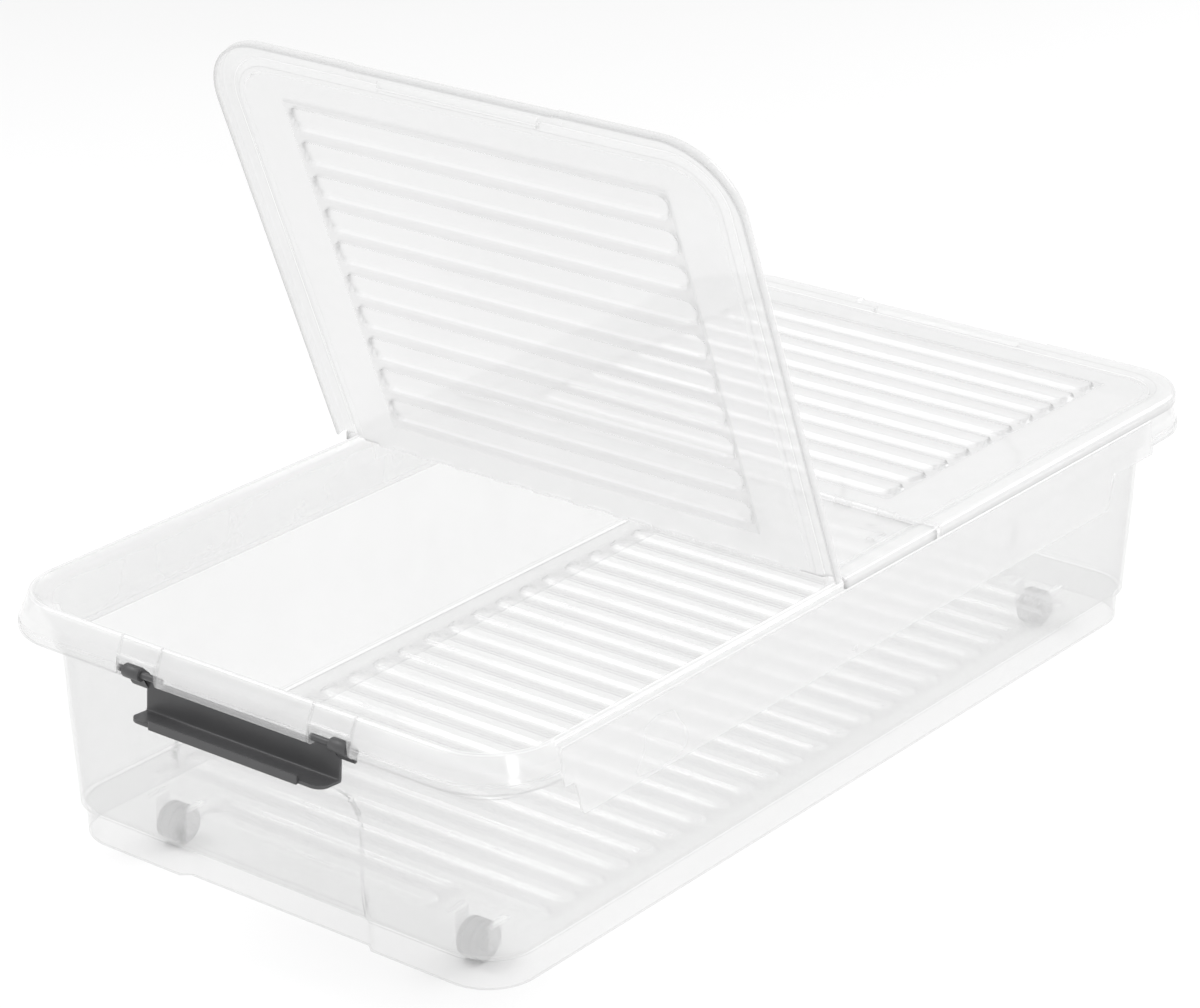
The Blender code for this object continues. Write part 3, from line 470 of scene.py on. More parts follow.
def clear_finish(name, tint, thin, thick):
    """Clear moulded plastic: thin seen square on, thick seen along the sheet, with a faint moulded haze.

    Where the mesh's painted light value is above 0 the colour is painted paler, a painted highlight; where it
    is below 0 the colour is painted dark, painted shade lines along edges and creases; either way the plastic
    is made more opaque there.
    """
    finish, tree, shader, place = start_finish(name)
    tone = tree.nodes.new("ShaderNodeAttribute")
    tone.attribute_name = "tone"
    tone = tone.outputs["Fac"]
    cloud = noise(tree, place, 9.0, 4.0)
    deep = tuple(0.95 * channel for channel in tint)
    body = blend_colours(tree, cloud, tint, deep)
    # Painted highlight: the colour turns paler where the painted light value is above 0.
    pale = blend_colours(tree, remap(tree, tone, 0.0, 1.0, 0.0, 1.0), tint, (0.97, 0.97, 0.97))
    tree.links.new(body, pale.node.inputs[6])
    # Painted shade: the colour turns dark grey where the painted light value is below 0, drawing dark edge
    # lines.
    dark = blend_colours(tree, remap(tree, tone, 0.0, -1.0, 0.0, 1.0), tint, (0.20, 0.20, 0.20))
    tree.links.new(pale, dark.node.inputs[6])
    tree.links.new(dark, shader.inputs["Base Color"])
    streak = noise(tree, place, 30.0, 2.0, (1.0, 0.25, 1.0))
    tree.links.new(remap(tree, streak, 0.3, 0.7, 0.10, 0.19), shader.inputs["Roughness"])
    shader.inputs["IOR"].default_value = 1.49
    shader.inputs["Specular IOR Level"].default_value = 1.0
    shader.inputs["Coat Weight"].default_value = 1.0
    shader.inputs["Coat Roughness"].default_value = 0.08
    edge = tree.nodes.new("ShaderNodeLayerWeight")
    edge.inputs["Blend"].default_value = 0.5
    steep = math_node(tree, "POWER", edge.outputs["Facing"], 3.0)
    haze = remap(tree, noise(tree, place, 14.0, 3.0), 0.3, 0.7, -0.02, 0.02)
    veil = math_node(tree, "ADD", remap(tree, steep, 0.0, 1.0, thin, thick), haze)
    # Painted highlights and painted shade lines also make the plastic more opaque where they lie.
    painted_light_opacity = remap(tree, math_node(tree, "ABSOLUTE", tone, 0.0), 0.0, 1.0, 0.0, 0.42)
    tree.links.new(math_node(tree, "ADD", veil, painted_light_opacity), shader.inputs["Alpha"])
    add_bump(tree, shader, noise(tree, place, 45.0, 2.0), 0.04, 0.0004)
    return finish


def moulded_finish(name, tint, low, high, grain):
    """Solid moulded plastic: satin, with fine grain and slightly uneven gloss."""
    finish, tree, shader, place = start_finish(name)
    cloud = noise(tree, place, 60.0, 3.0)
    pale = tuple(min(1.0, 1.18 * channel) for channel in tint)
    tree.links.new(blend_colours(tree, cloud, tint, pale), shader.inputs["Base Color"])
    tree.links.new(remap(tree, noise(tree, place, 160.0), 0.3, 0.7, low, high), shader.inputs["Roughness"])
    add_bump(tree, shader, noise(tree, place, grain, 4.0), 0.25, 0.0002)
    return finish


def studio_finish(tint):
    """Matt studio floor with a barely visible unevenness."""
    finish, tree, shader, place = start_finish("studio_paper")
    cloud = noise(tree, place, 3.0, 2.0)
    worn = tuple(0.985 * channel for channel in tint)
    tree.links.new(blend_colours(tree, cloud, tint, worn), shader.inputs["Base Color"])
    shader.inputs["Roughness"].default_value = 0.9
    shader.inputs["Specular IOR Level"].default_value = 0.1
    return finish


def finish_named(name):
    """The finish of that name, made on first use."""
    found = bpy.data.materials.get(name)
    if found is not None:
        return found
    colours = bpy.context.scene.bed_box_colours
    if name == "clear_tub":
        return clear_finish(name, tuple(colours.tub), 0.20, 0.80)
    if name == "clear_floor":
        return clear_finish(name, tuple(colours.tub), 0.30, 0.70)
    if name == "clear_lid":
        return clear_finish(name, tuple(colours.lid), 0.36, 0.85)
    if name == "dark_latch":
        return moulded_finish(name, tuple(colours.latch), 0.32, 0.46, 900.0)
    return moulded_finish(name, tuple(colours.wheel), 0.36, 0.52, 700.0)


# ---------------------------------------------------------------- tub
def tub_path(sizes):
    """Stations round the rim as (cx, cy, nx, ny).

    A point with corner radius r and half sides a and b stands at (cx(a - r) + r nx, cy(b - r) + r ny).
    """
    reach_y = sizes.half_length - sizes.ridge_corner
    reach_x = sizes.half_width - sizes.ridge_corner
    near = (-0.004, -0.0015, 0.0, 0.0015, 0.004)
    ends = (sizes.grip_front, sizes.deep_front - sizes.grip_slant, sizes.deep_front)
    ends += (sizes.deep_rear, sizes.deep_rear + sizes.grip_slant, sizes.grip_rear)
    along = spread(-reach_y, reach_y, 0.0065, ends, near) / reach_y
    edges = (*FOLD_LINES, sizes.recess_half)
    steps = (-0.0022, -0.0012, -0.0007, 0.0, 0.0007, 0.0012, 0.0022)
    across = spread(-reach_x, reach_x, 0.0065, edges + tuple(-e for e in edges), steps) / reach_x
    bend = np.linspace(0.0, 90.0, 18)[1:-1]
    parts = []
    for turn, line in enumerate((along, across, along, across)):
        angle = math.radians(90.0 * turn)
        normal = np.array([math.cos(angle), math.sin(angle)])
        side = np.array([-math.sin(angle), math.cos(angle)])
        straight = normal + np.outer(line, side)
        parts.append(np.column_stack([straight, np.broadcast_to(normal, straight.shape)]))
        corner = np.sign(np.round(normal + side))
        angles = np.radians(90.0 * turn + bend)
        arc = np.column_stack([np.cos(angles), np.sin(angles)])
        parts.append(np.column_stack([np.broadcast_to(corner, arc.shape), arc]))
    return np.round(np.concatenate(parts), 12)


def skirt_keys(sizes, x, y, on_side, on_end):
    """Section of the rim from the ridge down its skirt and back up inside, for every station.

    Each key is (out, drop, painted light, painted line).  The painted light pales the rim towards the ridge
    as a painted highlight band; the painted line is a narrow painted highlight (above 0) or painted dark edge
    line (below 0).
    The section is a mix of the end form, with a beaded edge, and the side form, with a ledge and a deep flat
    apron.
    The apron's lower edge follows the length of the grip; the end form's lower edge is lifted where the latch
    ears swing.
    """
    grip = on_side * window(y, sizes.grip_front, sizes.grip_rear, GRIP_EDGE)
    slant = smoothstep(sizes.deep_rear, sizes.deep_rear + sizes.grip_slant, y)
    slant = slant + smoothstep(-sizes.deep_front, sizes.grip_slant - sizes.deep_front, -y)
    low = sizes.grip_drop + (GRIP_SHALLOW - sizes.grip_drop) * slant
    notch = on_end * window(np.abs(x), POCKET_INNER, POCKET_OUTER, 0.0005)
    edge = SKIRT_EDGE - NOTCH_RISE * notch
    bead = SKIRT_BEAD - NOTCH_BEAD_RISE * notch
    one = np.ones_like(x)
    # Third number: painted highlight paling the rim towards the ridge; fourth: painted highlight lines (above
    # 0) and painted dark edge lines (below 0).
    end_form = [
        (0.0018, 0.0010, 0.55, 0.30),
        (0.0036, 0.0046, 0.50, 0.0),
        (0.0062, 0.0100, 0.45, 0.0),
        (0.0080, bead - 0.0012, 0.40, -0.50),
        (0.0092, bead, 0.30, -0.30),
        (0.0092, edge, 0.10, -1.10),
        (0.0074, edge, 0.10, -0.90),
        (0.0066, 0.0180, 0.20, 0.0),
        (0.0050, 0.0130, 0.30, 0.0),
        (0.0016, 0.0036, 0.40, 0.0),
        (-0.0004, 0.0023, 0.40, -0.20),
    ]
    side_form = [
        (0.0012, 0.0020, 0.55, 0.30),
        (0.0028, 0.0038, 0.50, -0.55),
        (0.0070, 0.0041, 0.45, 0.40),
        (0.0078, 0.0050, 0.35, -0.55),
        (0.0083, 0.0190, 0.30, 0.0),
        (0.0098, low, 0.30, -0.90),
        (0.0080, low, 0.30, 0.60),
        (0.0072, 0.0190, 0.30, 0.0),
        (0.0062, 0.0120, 0.30, 0.0),
        (0.0022, 0.0052, 0.30, -0.30),
        (-0.0004, 0.0023, 0.40, -0.20),
    ]
    ends, sides = (
        np.stack([np.stack([value * one for value in key]) for key in form]) for form in (end_form, side_form)
    )
    mix = (1 - grip) * ends + grip * sides
    cap = np.where(grip > 0.5, 1.0, edge)
    mix[:, 1] = np.minimum(mix[:, 1], cap)
    return np.moveaxis(mix, 2, 0)


def tub_shell_points(sizes):
    """Grid of the tub's walls and rim: a closed section carried round the rounded rectangle of the rim.

    Each key is (out, z, corner radius, painted light, painted line).  The painted light pales the inner
    flange towards the ridge as a painted highlight; the painted line is a narrow painted highlight (above 0)
    or painted dark edge line (below 0).
    The end walls sink by the recess depth inside the recess, and the rim rises a little along the fold lines
    beside the latch ears.
    A dark line of painted shade runs round each recess and along each fold line.
    """
    path = tub_path(sizes)
    cx, cy, nx, ny = (path[:, n] for n in range(4))
    x = cx * (sizes.half_width - sizes.ridge_corner) + sizes.ridge_corner * nx
    y = cy * (sizes.half_length - sizes.ridge_corner) + sizes.ridge_corner * ny
    on_side = (np.abs(nx) > 0.999).astype(float)
    on_end = (np.abs(ny) > 0.999).astype(float)
    rim = sizes.ridge_z
    top = sizes.recess_top
    # Fourth number: painted highlight paling the inner flange towards the ridge; fifth: painted highlight
    # lines (above 0) and painted dark edge lines (below 0).
    inner = [
        (-0.0240, sizes.floor_z, 0.0295, 0.0, -0.70),
        (-0.0213, sizes.floor_z + 0.0030, 0.0322, 0.0, -0.30),
        (-0.0178, rim - 0.0370, 0.0282, 0.10, -0.25),
        (-0.0138, rim - 0.0350, 0.0302, 0.15, 0.20),
        (-0.0130, rim - 0.0255, 0.0310, 0.20, 0.0),
        (-0.0102, rim - 0.0185, 0.0338, 0.25, 0.0),
        (-0.0064, rim - 0.0115, 0.0376, 0.30, 0.0),
        (-0.0040, rim - 0.0048, 0.0400, 0.40, 0.0),
        (-0.0018, rim - 0.0008, 0.0422, 0.50, -0.60),
        (0.0, rim, 0.0440, 0.60, 0.30),
    ]
    outer = [
        (-0.0022, rim - 0.0050, 0.0418, 0.30, 0.0),
        (-0.0046, rim - 0.0115, 0.0394, 0.20, 0.0),
        (-0.0084, rim - 0.0185, 0.0356, 0.10, 0.0),
        (-0.0112, rim - 0.0250, 0.0328, 0.05, 0.0),
        (-0.0120, rim - 0.0364, 0.0320, 0.0, -0.45),
        (-0.0160, rim - 0.0376, 0.0300, 0.0, -0.35),
        (-0.0167, top + 0.0030, 0.0308, 0.0, 0.0),
        (-0.0172, top - 0.0200, 0.0316, 0.0, 0.0),
        (-0.0195, sizes.floor_z + 0.0002, 0.0340, 0.0, -0.60),
        (-0.0219, sizes.floor_z - 0.0012, 0.0340, 0.0, -0.50),
        (-0.0225, 0.0090, 0.0340, 0.0, -0.80),
        (-0.0243, 0.0090, 0.0322, 0.0, -0.60),
        (-0.0243, sizes.floor_z - sizes.wall, 0.0322, 0.0, 0.0),
    ]
    stations = len(path)
    skirt = skirt_keys(sizes, x, y, on_side, on_end)
    out, drop, tone, line = (skirt[..., n] for n in range(4))
    skirt = np.stack([out, rim - drop, sizes.ridge_corner + out, tone, line], axis=2)
    keys = [np.broadcast_to(np.array(part), (stations, len(part), 5)) for part in (inner, outer)]
    keys = np.concatenate([keys[0], skirt, keys[1]], axis=1)
    section = densify(lined(keys, 0.0007, True), 0.0050, True)
    height = section[0, :, 1]
    outside = np.arange(len(height)) > len(height) / 2
    in_band = (height > top - 0.0190) & (height < top + 0.0025) & outside
    section = refine(section, in_band, 4)
    out, z, corner, tone = (section[..., n] for n in range(4))
    px = cx[:, None] * (sizes.half_width + out - corner) + corner * nx[:, None]
    py = cy[:, None] * (sizes.half_length + out - corner) + corner * ny[:, None]
    mask = recess_mask(sizes, px, z) * on_end[:, None]
    py = py - np.sign(py) * sizes.recess_depth * mask
    # Painted shade: a dark line painted round the edge of each recess in the end walls.
    wall_face = (out < -0.0150) & (z > 0.0088)
    tone = tone - 0.9 * (1.0 - np.abs(2.0 * mask - 1.0)) * on_end[:, None] * wall_face
    tick = sum(np.exp(-(((np.abs(px) - place) / 0.0007) ** 2)) for place in FOLD_LINES)
    upper = on_end[:, None] * smoothstep(rim - 0.026, rim - 0.016, z) * (out > -0.0005)
    py = py + np.sign(py) * 0.0004 * tick * upper
    # Painted shade: a dark line painted along each fold line.
    tone = tone - 0.8 * tick * upper
    return np.stack([px, py, z, tone], axis=2)


def refine(section, chosen, parts):
    """Sections whose chosen pieces, each between a point and the next, are cut into more parts."""
    counts = np.where(chosen, parts, 1)
    index = np.repeat(np.arange(section.shape[1]), counts)
    first = np.repeat(np.cumsum(counts) - counts, counts)
    share = ((np.arange(counts.sum()) - first) / np.repeat(counts, counts))[:, None]
    following = np.roll(section, -1, axis=1)
    return section[:, index] * (1.0 - share) + following[:, index] * share


def recess_mask(sizes, x, z):
    """1 inside a rectangle with round upper corners, 0 outside, falling smoothly across its edge."""
    over_x = np.maximum(np.abs(x) - (sizes.recess_half - RECESS_CORNER), 0.0)
    over_z = np.maximum(z - (sizes.recess_top - RECESS_CORNER), 0.0)
    away = np.hypot(over_x, over_z)
    return 1.0 - smoothstep(RECESS_CORNER - RECESS_EDGE, RECESS_CORNER + RECESS_EDGE, away)


def rounded_half_width(y, half_x, half_y, corner):
    """Half width of a rounded rectangle at each y: full, then falling as a quarter circle."""
    into = np.clip(np.abs(y) - (half_y - corner), 0.0, corner)
    return half_x - corner + np.sqrt(np.maximum(corner**2 - into**2, 0.0))


def cross_rows(rows, share, half_width):
    """Points (x, y) of rows at each y, spread across their own half width by the shares from -1 to 1."""
    x = half_width[:, None] * share[None, :]
    return x, np.broadcast_to(rows[:, None], x.shape)


def floor_heights(sizes, x, y):
    """Top of the tub's floor and its painted light: flat, with rounded ribs across it and an arch over each
    wheel, the ribs and the arch edges carrying painted highlights and painted shade.
    """
    last = math.floor((sizes.half_length - RIB_MARGIN) / sizes.rib_pitch) * sizes.rib_pitch
    phase = y / sizes.rib_pitch
    side = phase - np.round(phase)
    half = np.where(np.abs(np.abs(y) - WHEEL_Y) < ARCH_RADIUS, SHORT_RIB_HALF, sizes.rib_half)
    in_rows = window(np.abs(y), -1.0, last + 0.007, 0.002)
    ribs = wave(phase, *FLOOR_RIB) * in_rows
    bow = 0.006 * np.sqrt(np.clip(1.0 - (side / 0.28) ** 2, 0.0, 1.0))
    ribs = ribs * (1.0 - smoothstep(half - 0.0085 + bow, half - 0.0060 + bow, np.abs(x)))
    ribbed = in_rows * window(np.abs(x), -1.0, half, 0.003)
    height = sizes.floor_z + sizes.rib_height * ribs
    away = np.abs(y) - WHEEL_Y
    arch = WHEEL_Z + np.sqrt(np.maximum(ARCH_RADIUS**2 - away**2, 0.0)) - sizes.floor_z
    beside = np.abs(np.abs(x) - WHEEL_X)
    arch = np.maximum(arch, 0.0) * (1.0 - smoothstep(ARCH_HALF - 0.0004, ARCH_HALF + 0.0008, beside))
    arch_edge_highlight = np.exp(-(((beside - ARCH_HALF) / 0.0007) ** 2)) + np.exp(-((arch / 0.0009) ** 2))
    slope = 4.0 * ribs * (1.0 - ribs)
    # Painted light on the ribs: crests a little paler as painted highlight, the slopes on one side painted
    # darker and on the other paler as light from one side would fall, the flat between ribs painted darker as
    # shade, and painted highlight lines along the arch edges.
    shade = np.where(side > 0.0, -0.30, 0.16)
    tone = 0.08 * ribs + shade * slope + 0.6 * arch_edge_highlight * (arch > 0.0) - 0.16 * (1.0 - ribs) * ribbed
    return np.maximum(height, sizes.floor_z + arch), tone


def tub_floor_body(sizes):
    """The floor as a thin sheet: rows across the box, each reaching the walls."""
    half_x, half_y = sizes.half_width - FLOOR_INSET, sizes.half_length - FLOOR_INSET
    count = math.floor((sizes.half_length - RIB_MARGIN) / sizes.rib_pitch)
    places = np.arange(-count, count + 1) * sizes.rib_pitch
    offsets = sizes.rib_pitch * slope_rows(*FLOOR_RIB)
    rows = spread(-half_y + 0.0002, half_y - 0.0002, 0.0050, places, offsets)
    marks = np.array([sizes.rib_half - 0.004, 0.0925, WHEEL_X - ARCH_HALF, WHEEL_X + ARCH_HALF]) / half_x
    close = np.array([-0.0036, -0.0018, -0.0006, 0.0, 0.0006, 0.0018, 0.0036]) / half_x
    share = spread(-1.0, 1.0, 0.05, np.concatenate([marks, -marks]), close)
    x, y = cross_rows(rows, share, rounded_half_width(rows, half_x, half_y, FLOOR_CORNER))
    top, tone = floor_heights(sizes, x, y)
    upper = np.stack([x, y, top, tone], axis=2)
    return sheet(upper, upper - (0.0, 0.0, sizes.wall, 0.0))


class BEDBOX_OT_tub(bpy.types.Operator):
    """Build the tub's walls and rim, and its ribbed floor"""

    bl_idname = "bed_box.tub"
    bl_label = "Tub"

    def execute(self, context):
        sizes = context.scene.bed_box_tub
        shell = tube(tub_shell_points(sizes))
        make_piece("tub_shell", [shell], finish_named("clear_tub"), "tub", ["tub"])
        floor = tub_floor_body(sizes)
        make_piece("tub_floor", [floor], finish_named("clear_floor"), "tub")
        return {"FINISHED"}


def in_four_quarters(bodies):
    """The bodies and their mirror images across X, across Y and across both."""
    across = [mirrored(body, 0) for body in bodies]
    return bodies + across + [mirrored(body, 1) for body in bodies + across]


def pocket_rib_bodies(sizes):
    """Eight upright ribs that tie the rim's skirt to its flange beside the latch ears."""
    outline = np.array(
        [
            (-0.0095, 0.0185),
            (-0.0056, 0.0118),
            (-0.0026, 0.0050),
            (0.0008, 0.0040),
            (0.0062, 0.0172),
            (0.0074, 0.0228),
            (0.0070, 0.0248),
            (0.0040, 0.0252),
            (0.0004, 0.0240),
            (-0.0040, 0.0212),
        ]
    )
    outline = fillet(outline * (1.0, -1.0) + (sizes.half_length, sizes.ridge_z), 0.0006, True)
    inner = prism(outline, POCKET_INNER - POCKET_RIB, POCKET_INNER)
    outer = prism(outline, POCKET_OUTER, POCKET_OUTER + POCKET_RIB)
    return in_four_quarters([inner, outer])


def cheek_bodies():
    """Eight hanging plates that carry the stub axles, two beside each wheel."""
    side = [(-0.0058, 0.0288), (-0.0058, 0.0118), (-0.0040, 0.0098)]
    outline = np.array(side + [(-y, z) for y, z in side[::-1]])
    outline = fillet(outline + (WHEEL_Y, 0.0), 0.0012, True)
    inner = prism(outline, WHEEL_X - CHEEK_FAR, WHEEL_X - CHEEK_NEAR)
    outer = prism(outline, WHEEL_X + CHEEK_NEAR, WHEEL_X + CHEEK_FAR)
    return in_four_quarters([inner, outer])


class BEDBOX_OT_tub_fittings(bpy.types.Operator):
    """Build the ribs of the latch pockets and the cheeks that carry the wheels"""

    bl_idname = "bed_box.tub_fittings"
    bl_label = "Pocket ribs and wheel cheeks"

    def execute(self, context):
        sizes = context.scene.bed_box_tub
        clear = finish_named("clear_tub")
        make_piece("pocket_ribs", pocket_rib_bodies(sizes), clear, "tub")
        make_piece("wheel_cheeks", cheek_bodies(), clear, "tub")
        return {"FINISHED"}


# ---------------------------------------------------------------- lid
def border_keys(lid, wall):
    """Upper and lower line of the lid's border section, from the plateau out over the ridge to the skirt.

    Each key is (out, rise, painted light, painted line).  The painted light makes the top of the border a
    paler painted highlight band and the skirt a little darker as painted shade; the painted line is a narrow
    painted highlight (above 0) or painted dark edge line (below 0).
    """
    upper = [
        (-BORDER_INSET, lid.plateau, 0.0, 0.0),
        (-0.0118, lid.plateau, 0.0, 0.50),
        (-0.0068, lid.border - 0.0008, 0.10, -0.40),
        (-0.0025, lid.border, 0.30, 0.0),
        (0.0036, lid.border, 0.30, 0.0),
        (0.0060, lid.border - 0.0009, 0.20, 0.50),
        (0.0070, lid.border - 0.0028, -0.04, -0.15),
        (0.0070, -lid.skirt, -0.04, -0.40),
    ]
    lower = [
        (-BORDER_INSET, lid.plateau - wall, 0.0, 0.0),
        (-0.0110, lid.plateau - wall, 0.0, -0.40),
        (-0.0060, lid.border - wall - 0.0008, 0.0, 0.70),
        (-0.0022, lid.border - wall, 0.10, 0.0),
        (0.0030, lid.border - wall, 0.10, 0.0),
        (0.0044, lid.border - wall - 0.0006, 0.0, -0.35),
        (0.0052, lid.border - wall - 0.0020, 0.0, -0.30),
        (0.0052, -lid.skirt, -0.04, -0.30),
    ]
    return np.array([upper, lower])


def panel_border_body(tub, lid):
    """Border of one panel, drawn closed at the +Y end: its section carried up one side, round and back."""
    start = HINGE_HALF + lid.hinge_edge
    bend = np.radians(np.linspace(0.0, 90.0, 20))
    run = np.linspace(0.0, 1.0, 60)
    marks = np.array([TROUGH_HALF, SADDLE_HALF]) / (tub.half_width - tub.ridge_corner)
    near = (-0.006, -0.003, 0.0, 0.003, 0.006)
    flat = spread(-1.0, 1.0, 0.04, np.concatenate([marks, -marks]), near)[::-1]
    right = np.column_stack([np.ones(60), run, np.ones(60), np.zeros(60)])
    first = np.column_stack([np.ones(20), np.ones(20), np.cos(bend), np.sin(bend)])
    far = np.column_stack([flat, np.ones(len(flat)), np.zeros(len(flat)), np.ones(len(flat))])
    half = np.concatenate([right, first[1:-1]])
    back = half[::-1] * (-1.0, 1.0, -1.0, 1.0)
    path = np.concatenate([half, far, back])
    cx, run, nx, ny = (path[:, n, None] for n in range(4))
    section = densify(lined(border_keys(lid, tub.wall), 0.0006, False), 0.004, False)
    out, rise, tone = (section[:, None, :, n] for n in range(3))
    corner = tub.ridge_corner + out
    x = cx * (tub.half_width + out - corner) + corner * nx
    y = start + run * (tub.half_length + out - corner - start) + corner * ny
    dip = trough_drop(x, y - tub.half_length)
    z = tub.ridge_z + rise - dip
    deep = dip / TROUGH_DEPTH
    # Painted shade: a dark line painted along the sloping walls of the latch trough.
    tone = tone - 1.8 * deep * (1.0 - deep) * (y < tub.half_length - 0.0040)
    return sheet(*np.stack(np.broadcast_arrays(x, y, z, tone), axis=3))


def trough_drop(x, out):
    """Depth of the trough and the saddle that take the closed latch in the far border."""
    saddle = window(np.abs(x), -1.0, SADDLE_HALF, 0.0010) * window(out, -0.0040, 0.0100, 0.0015)
    trough = window(np.abs(x), -1.0, TROUGH_HALF, 0.0010) * window(out, -0.0086, -0.0052, 0.0012)
    return np.maximum(saddle * SADDLE_DEPTH, trough * TROUGH_DEPTH)


def panel_field_body(tub, lid):
    """Flat of one panel with its sunken field and the ribs on it, as a thin sheet of even thickness."""
    start = HINGE_HALF + lid.hinge_edge
    end = tub.half_length - BORDER_INSET - 0.0002
    corner = tub.ridge_corner - BORDER_INSET
    half_x = tub.half_width - BORDER_INSET - 0.0002
    places = HINGE_HALF + lid.rib_first + np.arange(lid.rib_count) * lid.rib_pitch
    offsets = lid.rib_pitch * slope_rows(*LID_RIB)
    rows = spread(start, end - 0.0002, 0.0060, places, offsets)
    field_ends = HINGE_HALF + np.array([FIELD_START, FIELD_END])
    edges = spread(start, end - 0.0002, 1.0, field_ends, (-0.0012, -0.0006, 0.0, 0.0006))
    rows = np.unique(np.concatenate([rows, edges]))
    marks = np.array([lid.rib_half + FIELD_MARGIN, lid.rib_half - 0.001]) / half_x
    near = (-0.012, -0.006, -0.003, 0.0, 0.003, 0.006, 0.012)
    share = spread(-1.0, 1.0, 0.05, np.concatenate([marks, -marks]), near)
    width = rounded_half_width(np.maximum(rows, 0.0), half_x, end, corner)
    x, y = cross_rows(rows, share, width)
    rise, tone = panel_rise(lid, x, y - HINGE_HALF)
    upper = np.stack([x, y, tub.ridge_z + rise, tone], axis=2)
    return sheet(upper, upper - (0.0, 0.0, tub.wall, 0.0))


def panel_rise(lid, x, away):
    """Height of a panel above the ridge and its painted light, by x and the distance away from its hinge."""
    field = window(np.abs(x), -1.0, lid.rib_half + FIELD_MARGIN, 0.0010)
    field = field * window(away, FIELD_START, FIELD_END, 0.0010)
    last = lid.rib_first + (lid.rib_count - 1) * lid.rib_pitch
    phase = (away - lid.rib_first) / lid.rib_pitch
    side = phase - np.round(phase)
    ribs = wave(phase, *LID_RIB) * window(away, lid.rib_first - 0.009, last + 0.009, 0.001)
    bow = 0.0045 * np.sqrt(np.clip(1.0 - (side / 0.30) ** 2, 0.0, 1.0))
    reach = lid.rib_half - 0.002 + bow
    ribs = ribs * (1.0 - smoothstep(reach - 0.0016, reach, np.abs(x)))
    slope = 4.0 * ribs * (1.0 - ribs)
    outline = 4.0 * field * (1.0 - field)
    shade = np.where(side > 0.0, -0.38, 0.20)
    ends = smoothstep(reach - 0.0040, reach - 0.0016, np.abs(x)) * ribs
    # Painted light on the field: rib crests a little paler as painted highlight, the flat between ribs darker
    # as painted shade, one rib slope paler and the other darker, a painted dark line round the field's edge
    # and painted dark shade at the rib ends.
    tone = 0.04 * ribs - 0.12 * field * (1.0 - ribs) + shade * slope - 0.30 * outline - 0.5 * ends
    return lid.plateau - 0.0008 * field + lid.rib_height * ribs, tone


def front_panel_place(body):
    """A panel body drawn closed at the rear, mirrored to the front and raised on its hinge."""
    return turned(mirrored(body, 1), -HINGE_HALF, HINGE_Z, -OPEN_TURN)


class BEDBOX_OT_lid_panels(bpy.types.Operator):
    """Build the border and the ribbed field of both lid panels"""

    bl_idname = "bed_box.lid_panels"
    bl_label = "Lid panels"

    def execute(self, context):
        tub, lid = context.scene.bed_box_tub, context.scene.bed_box_lid
        clear = finish_named("clear_lid")
        border, field = panel_border_body(tub, lid), panel_field_body(tub, lid)
        rear, front = "rear_lid_panel", "front_lid_panel"
        make_piece("rear_lid_border", [border], clear, rear, [rear])
        make_piece("rear_lid_field", [field], clear, rear)
        make_piece("front_lid_border", [front_panel_place(border)], clear, front, [front])
        make_piece("front_lid_field", [front_panel_place(field)], clear, front)
        return {"FINISHED"}


def bridge_body(tub, lid):
    """The bridge: the border's section, across the flat and out again, carried along Y, with raised pads."""
    reach = HINGE_HALF - lid.hinge_edge
    rows = spread(-reach, reach, 0.0045, (0.0120, 0.0260, 0.0330), (-0.0009, 0.0, 0.0009))
    side = densify(lined(border_keys(lid, tub.wall), 0.0006, False), 0.004, False)
    near = (-0.0008, 0.0, 0.0008)
    inner = tub.half_width - BORDER_INSET - 0.0005
    flat = spread(-inner, inner, 0.006, (-0.184, -0.179, 0.179, 0.184), near)
    middle = np.broadcast_to(flat, (2, len(flat)))
    x = np.concatenate([-(tub.half_width + side[:, ::-1, 0]), middle, tub.half_width + side[:, :, 0]], axis=1)
    level = np.broadcast_to(side[:, :1, 1:3], (2, len(flat), 2))
    rest = np.concatenate([side[:, ::-1, 1:3], level, side[:, :, 1:3]], axis=1)
    x, y = x[:, None, :], rows[None, :, None]
    pad = window(np.abs(x), PAD_INNER, PAD_OUTER, 0.0008) * window(y, 0.0125, 0.0255, 0.0008)
    dot = 1.0 - smoothstep(0.0035, 0.0050, np.hypot(np.abs(x) - 0.166, y - 0.030))
    z = tub.ridge_z + rest[:, None, :, 0] + 0.0020 * pad - 0.0006 * dot
    # Painted shade: dark lines painted round the pads and the dot, and along both hems of the bridge.
    line = 4.0 * pad * (1.0 - pad) + 4.0 * dot * (1.0 - dot)
    hem = np.exp(-(((np.abs(y) - reach) / 0.0012) ** 2))
    tone = rest[:, None, :, 1] - 0.6 * line - 0.5 * hem
    return sheet(*np.stack(np.broadcast_arrays(x, y, z, tone), axis=3))


def knuckle_reach(tub):
    """How many knuckles stand on each side of the middle one."""
    return math.floor((tub.half_width - KNUCKLE_MARGIN) / KNUCKLE_PITCH)


def hinge_ring(end, radius, degrees):
    """Points round the hinge axis of one panel at the angles given."""
    angle = np.radians(degrees)
    return np.column_stack([end * HINGE_HALF + radius * np.cos(angle), HINGE_Z + radius * np.sin(angle)])


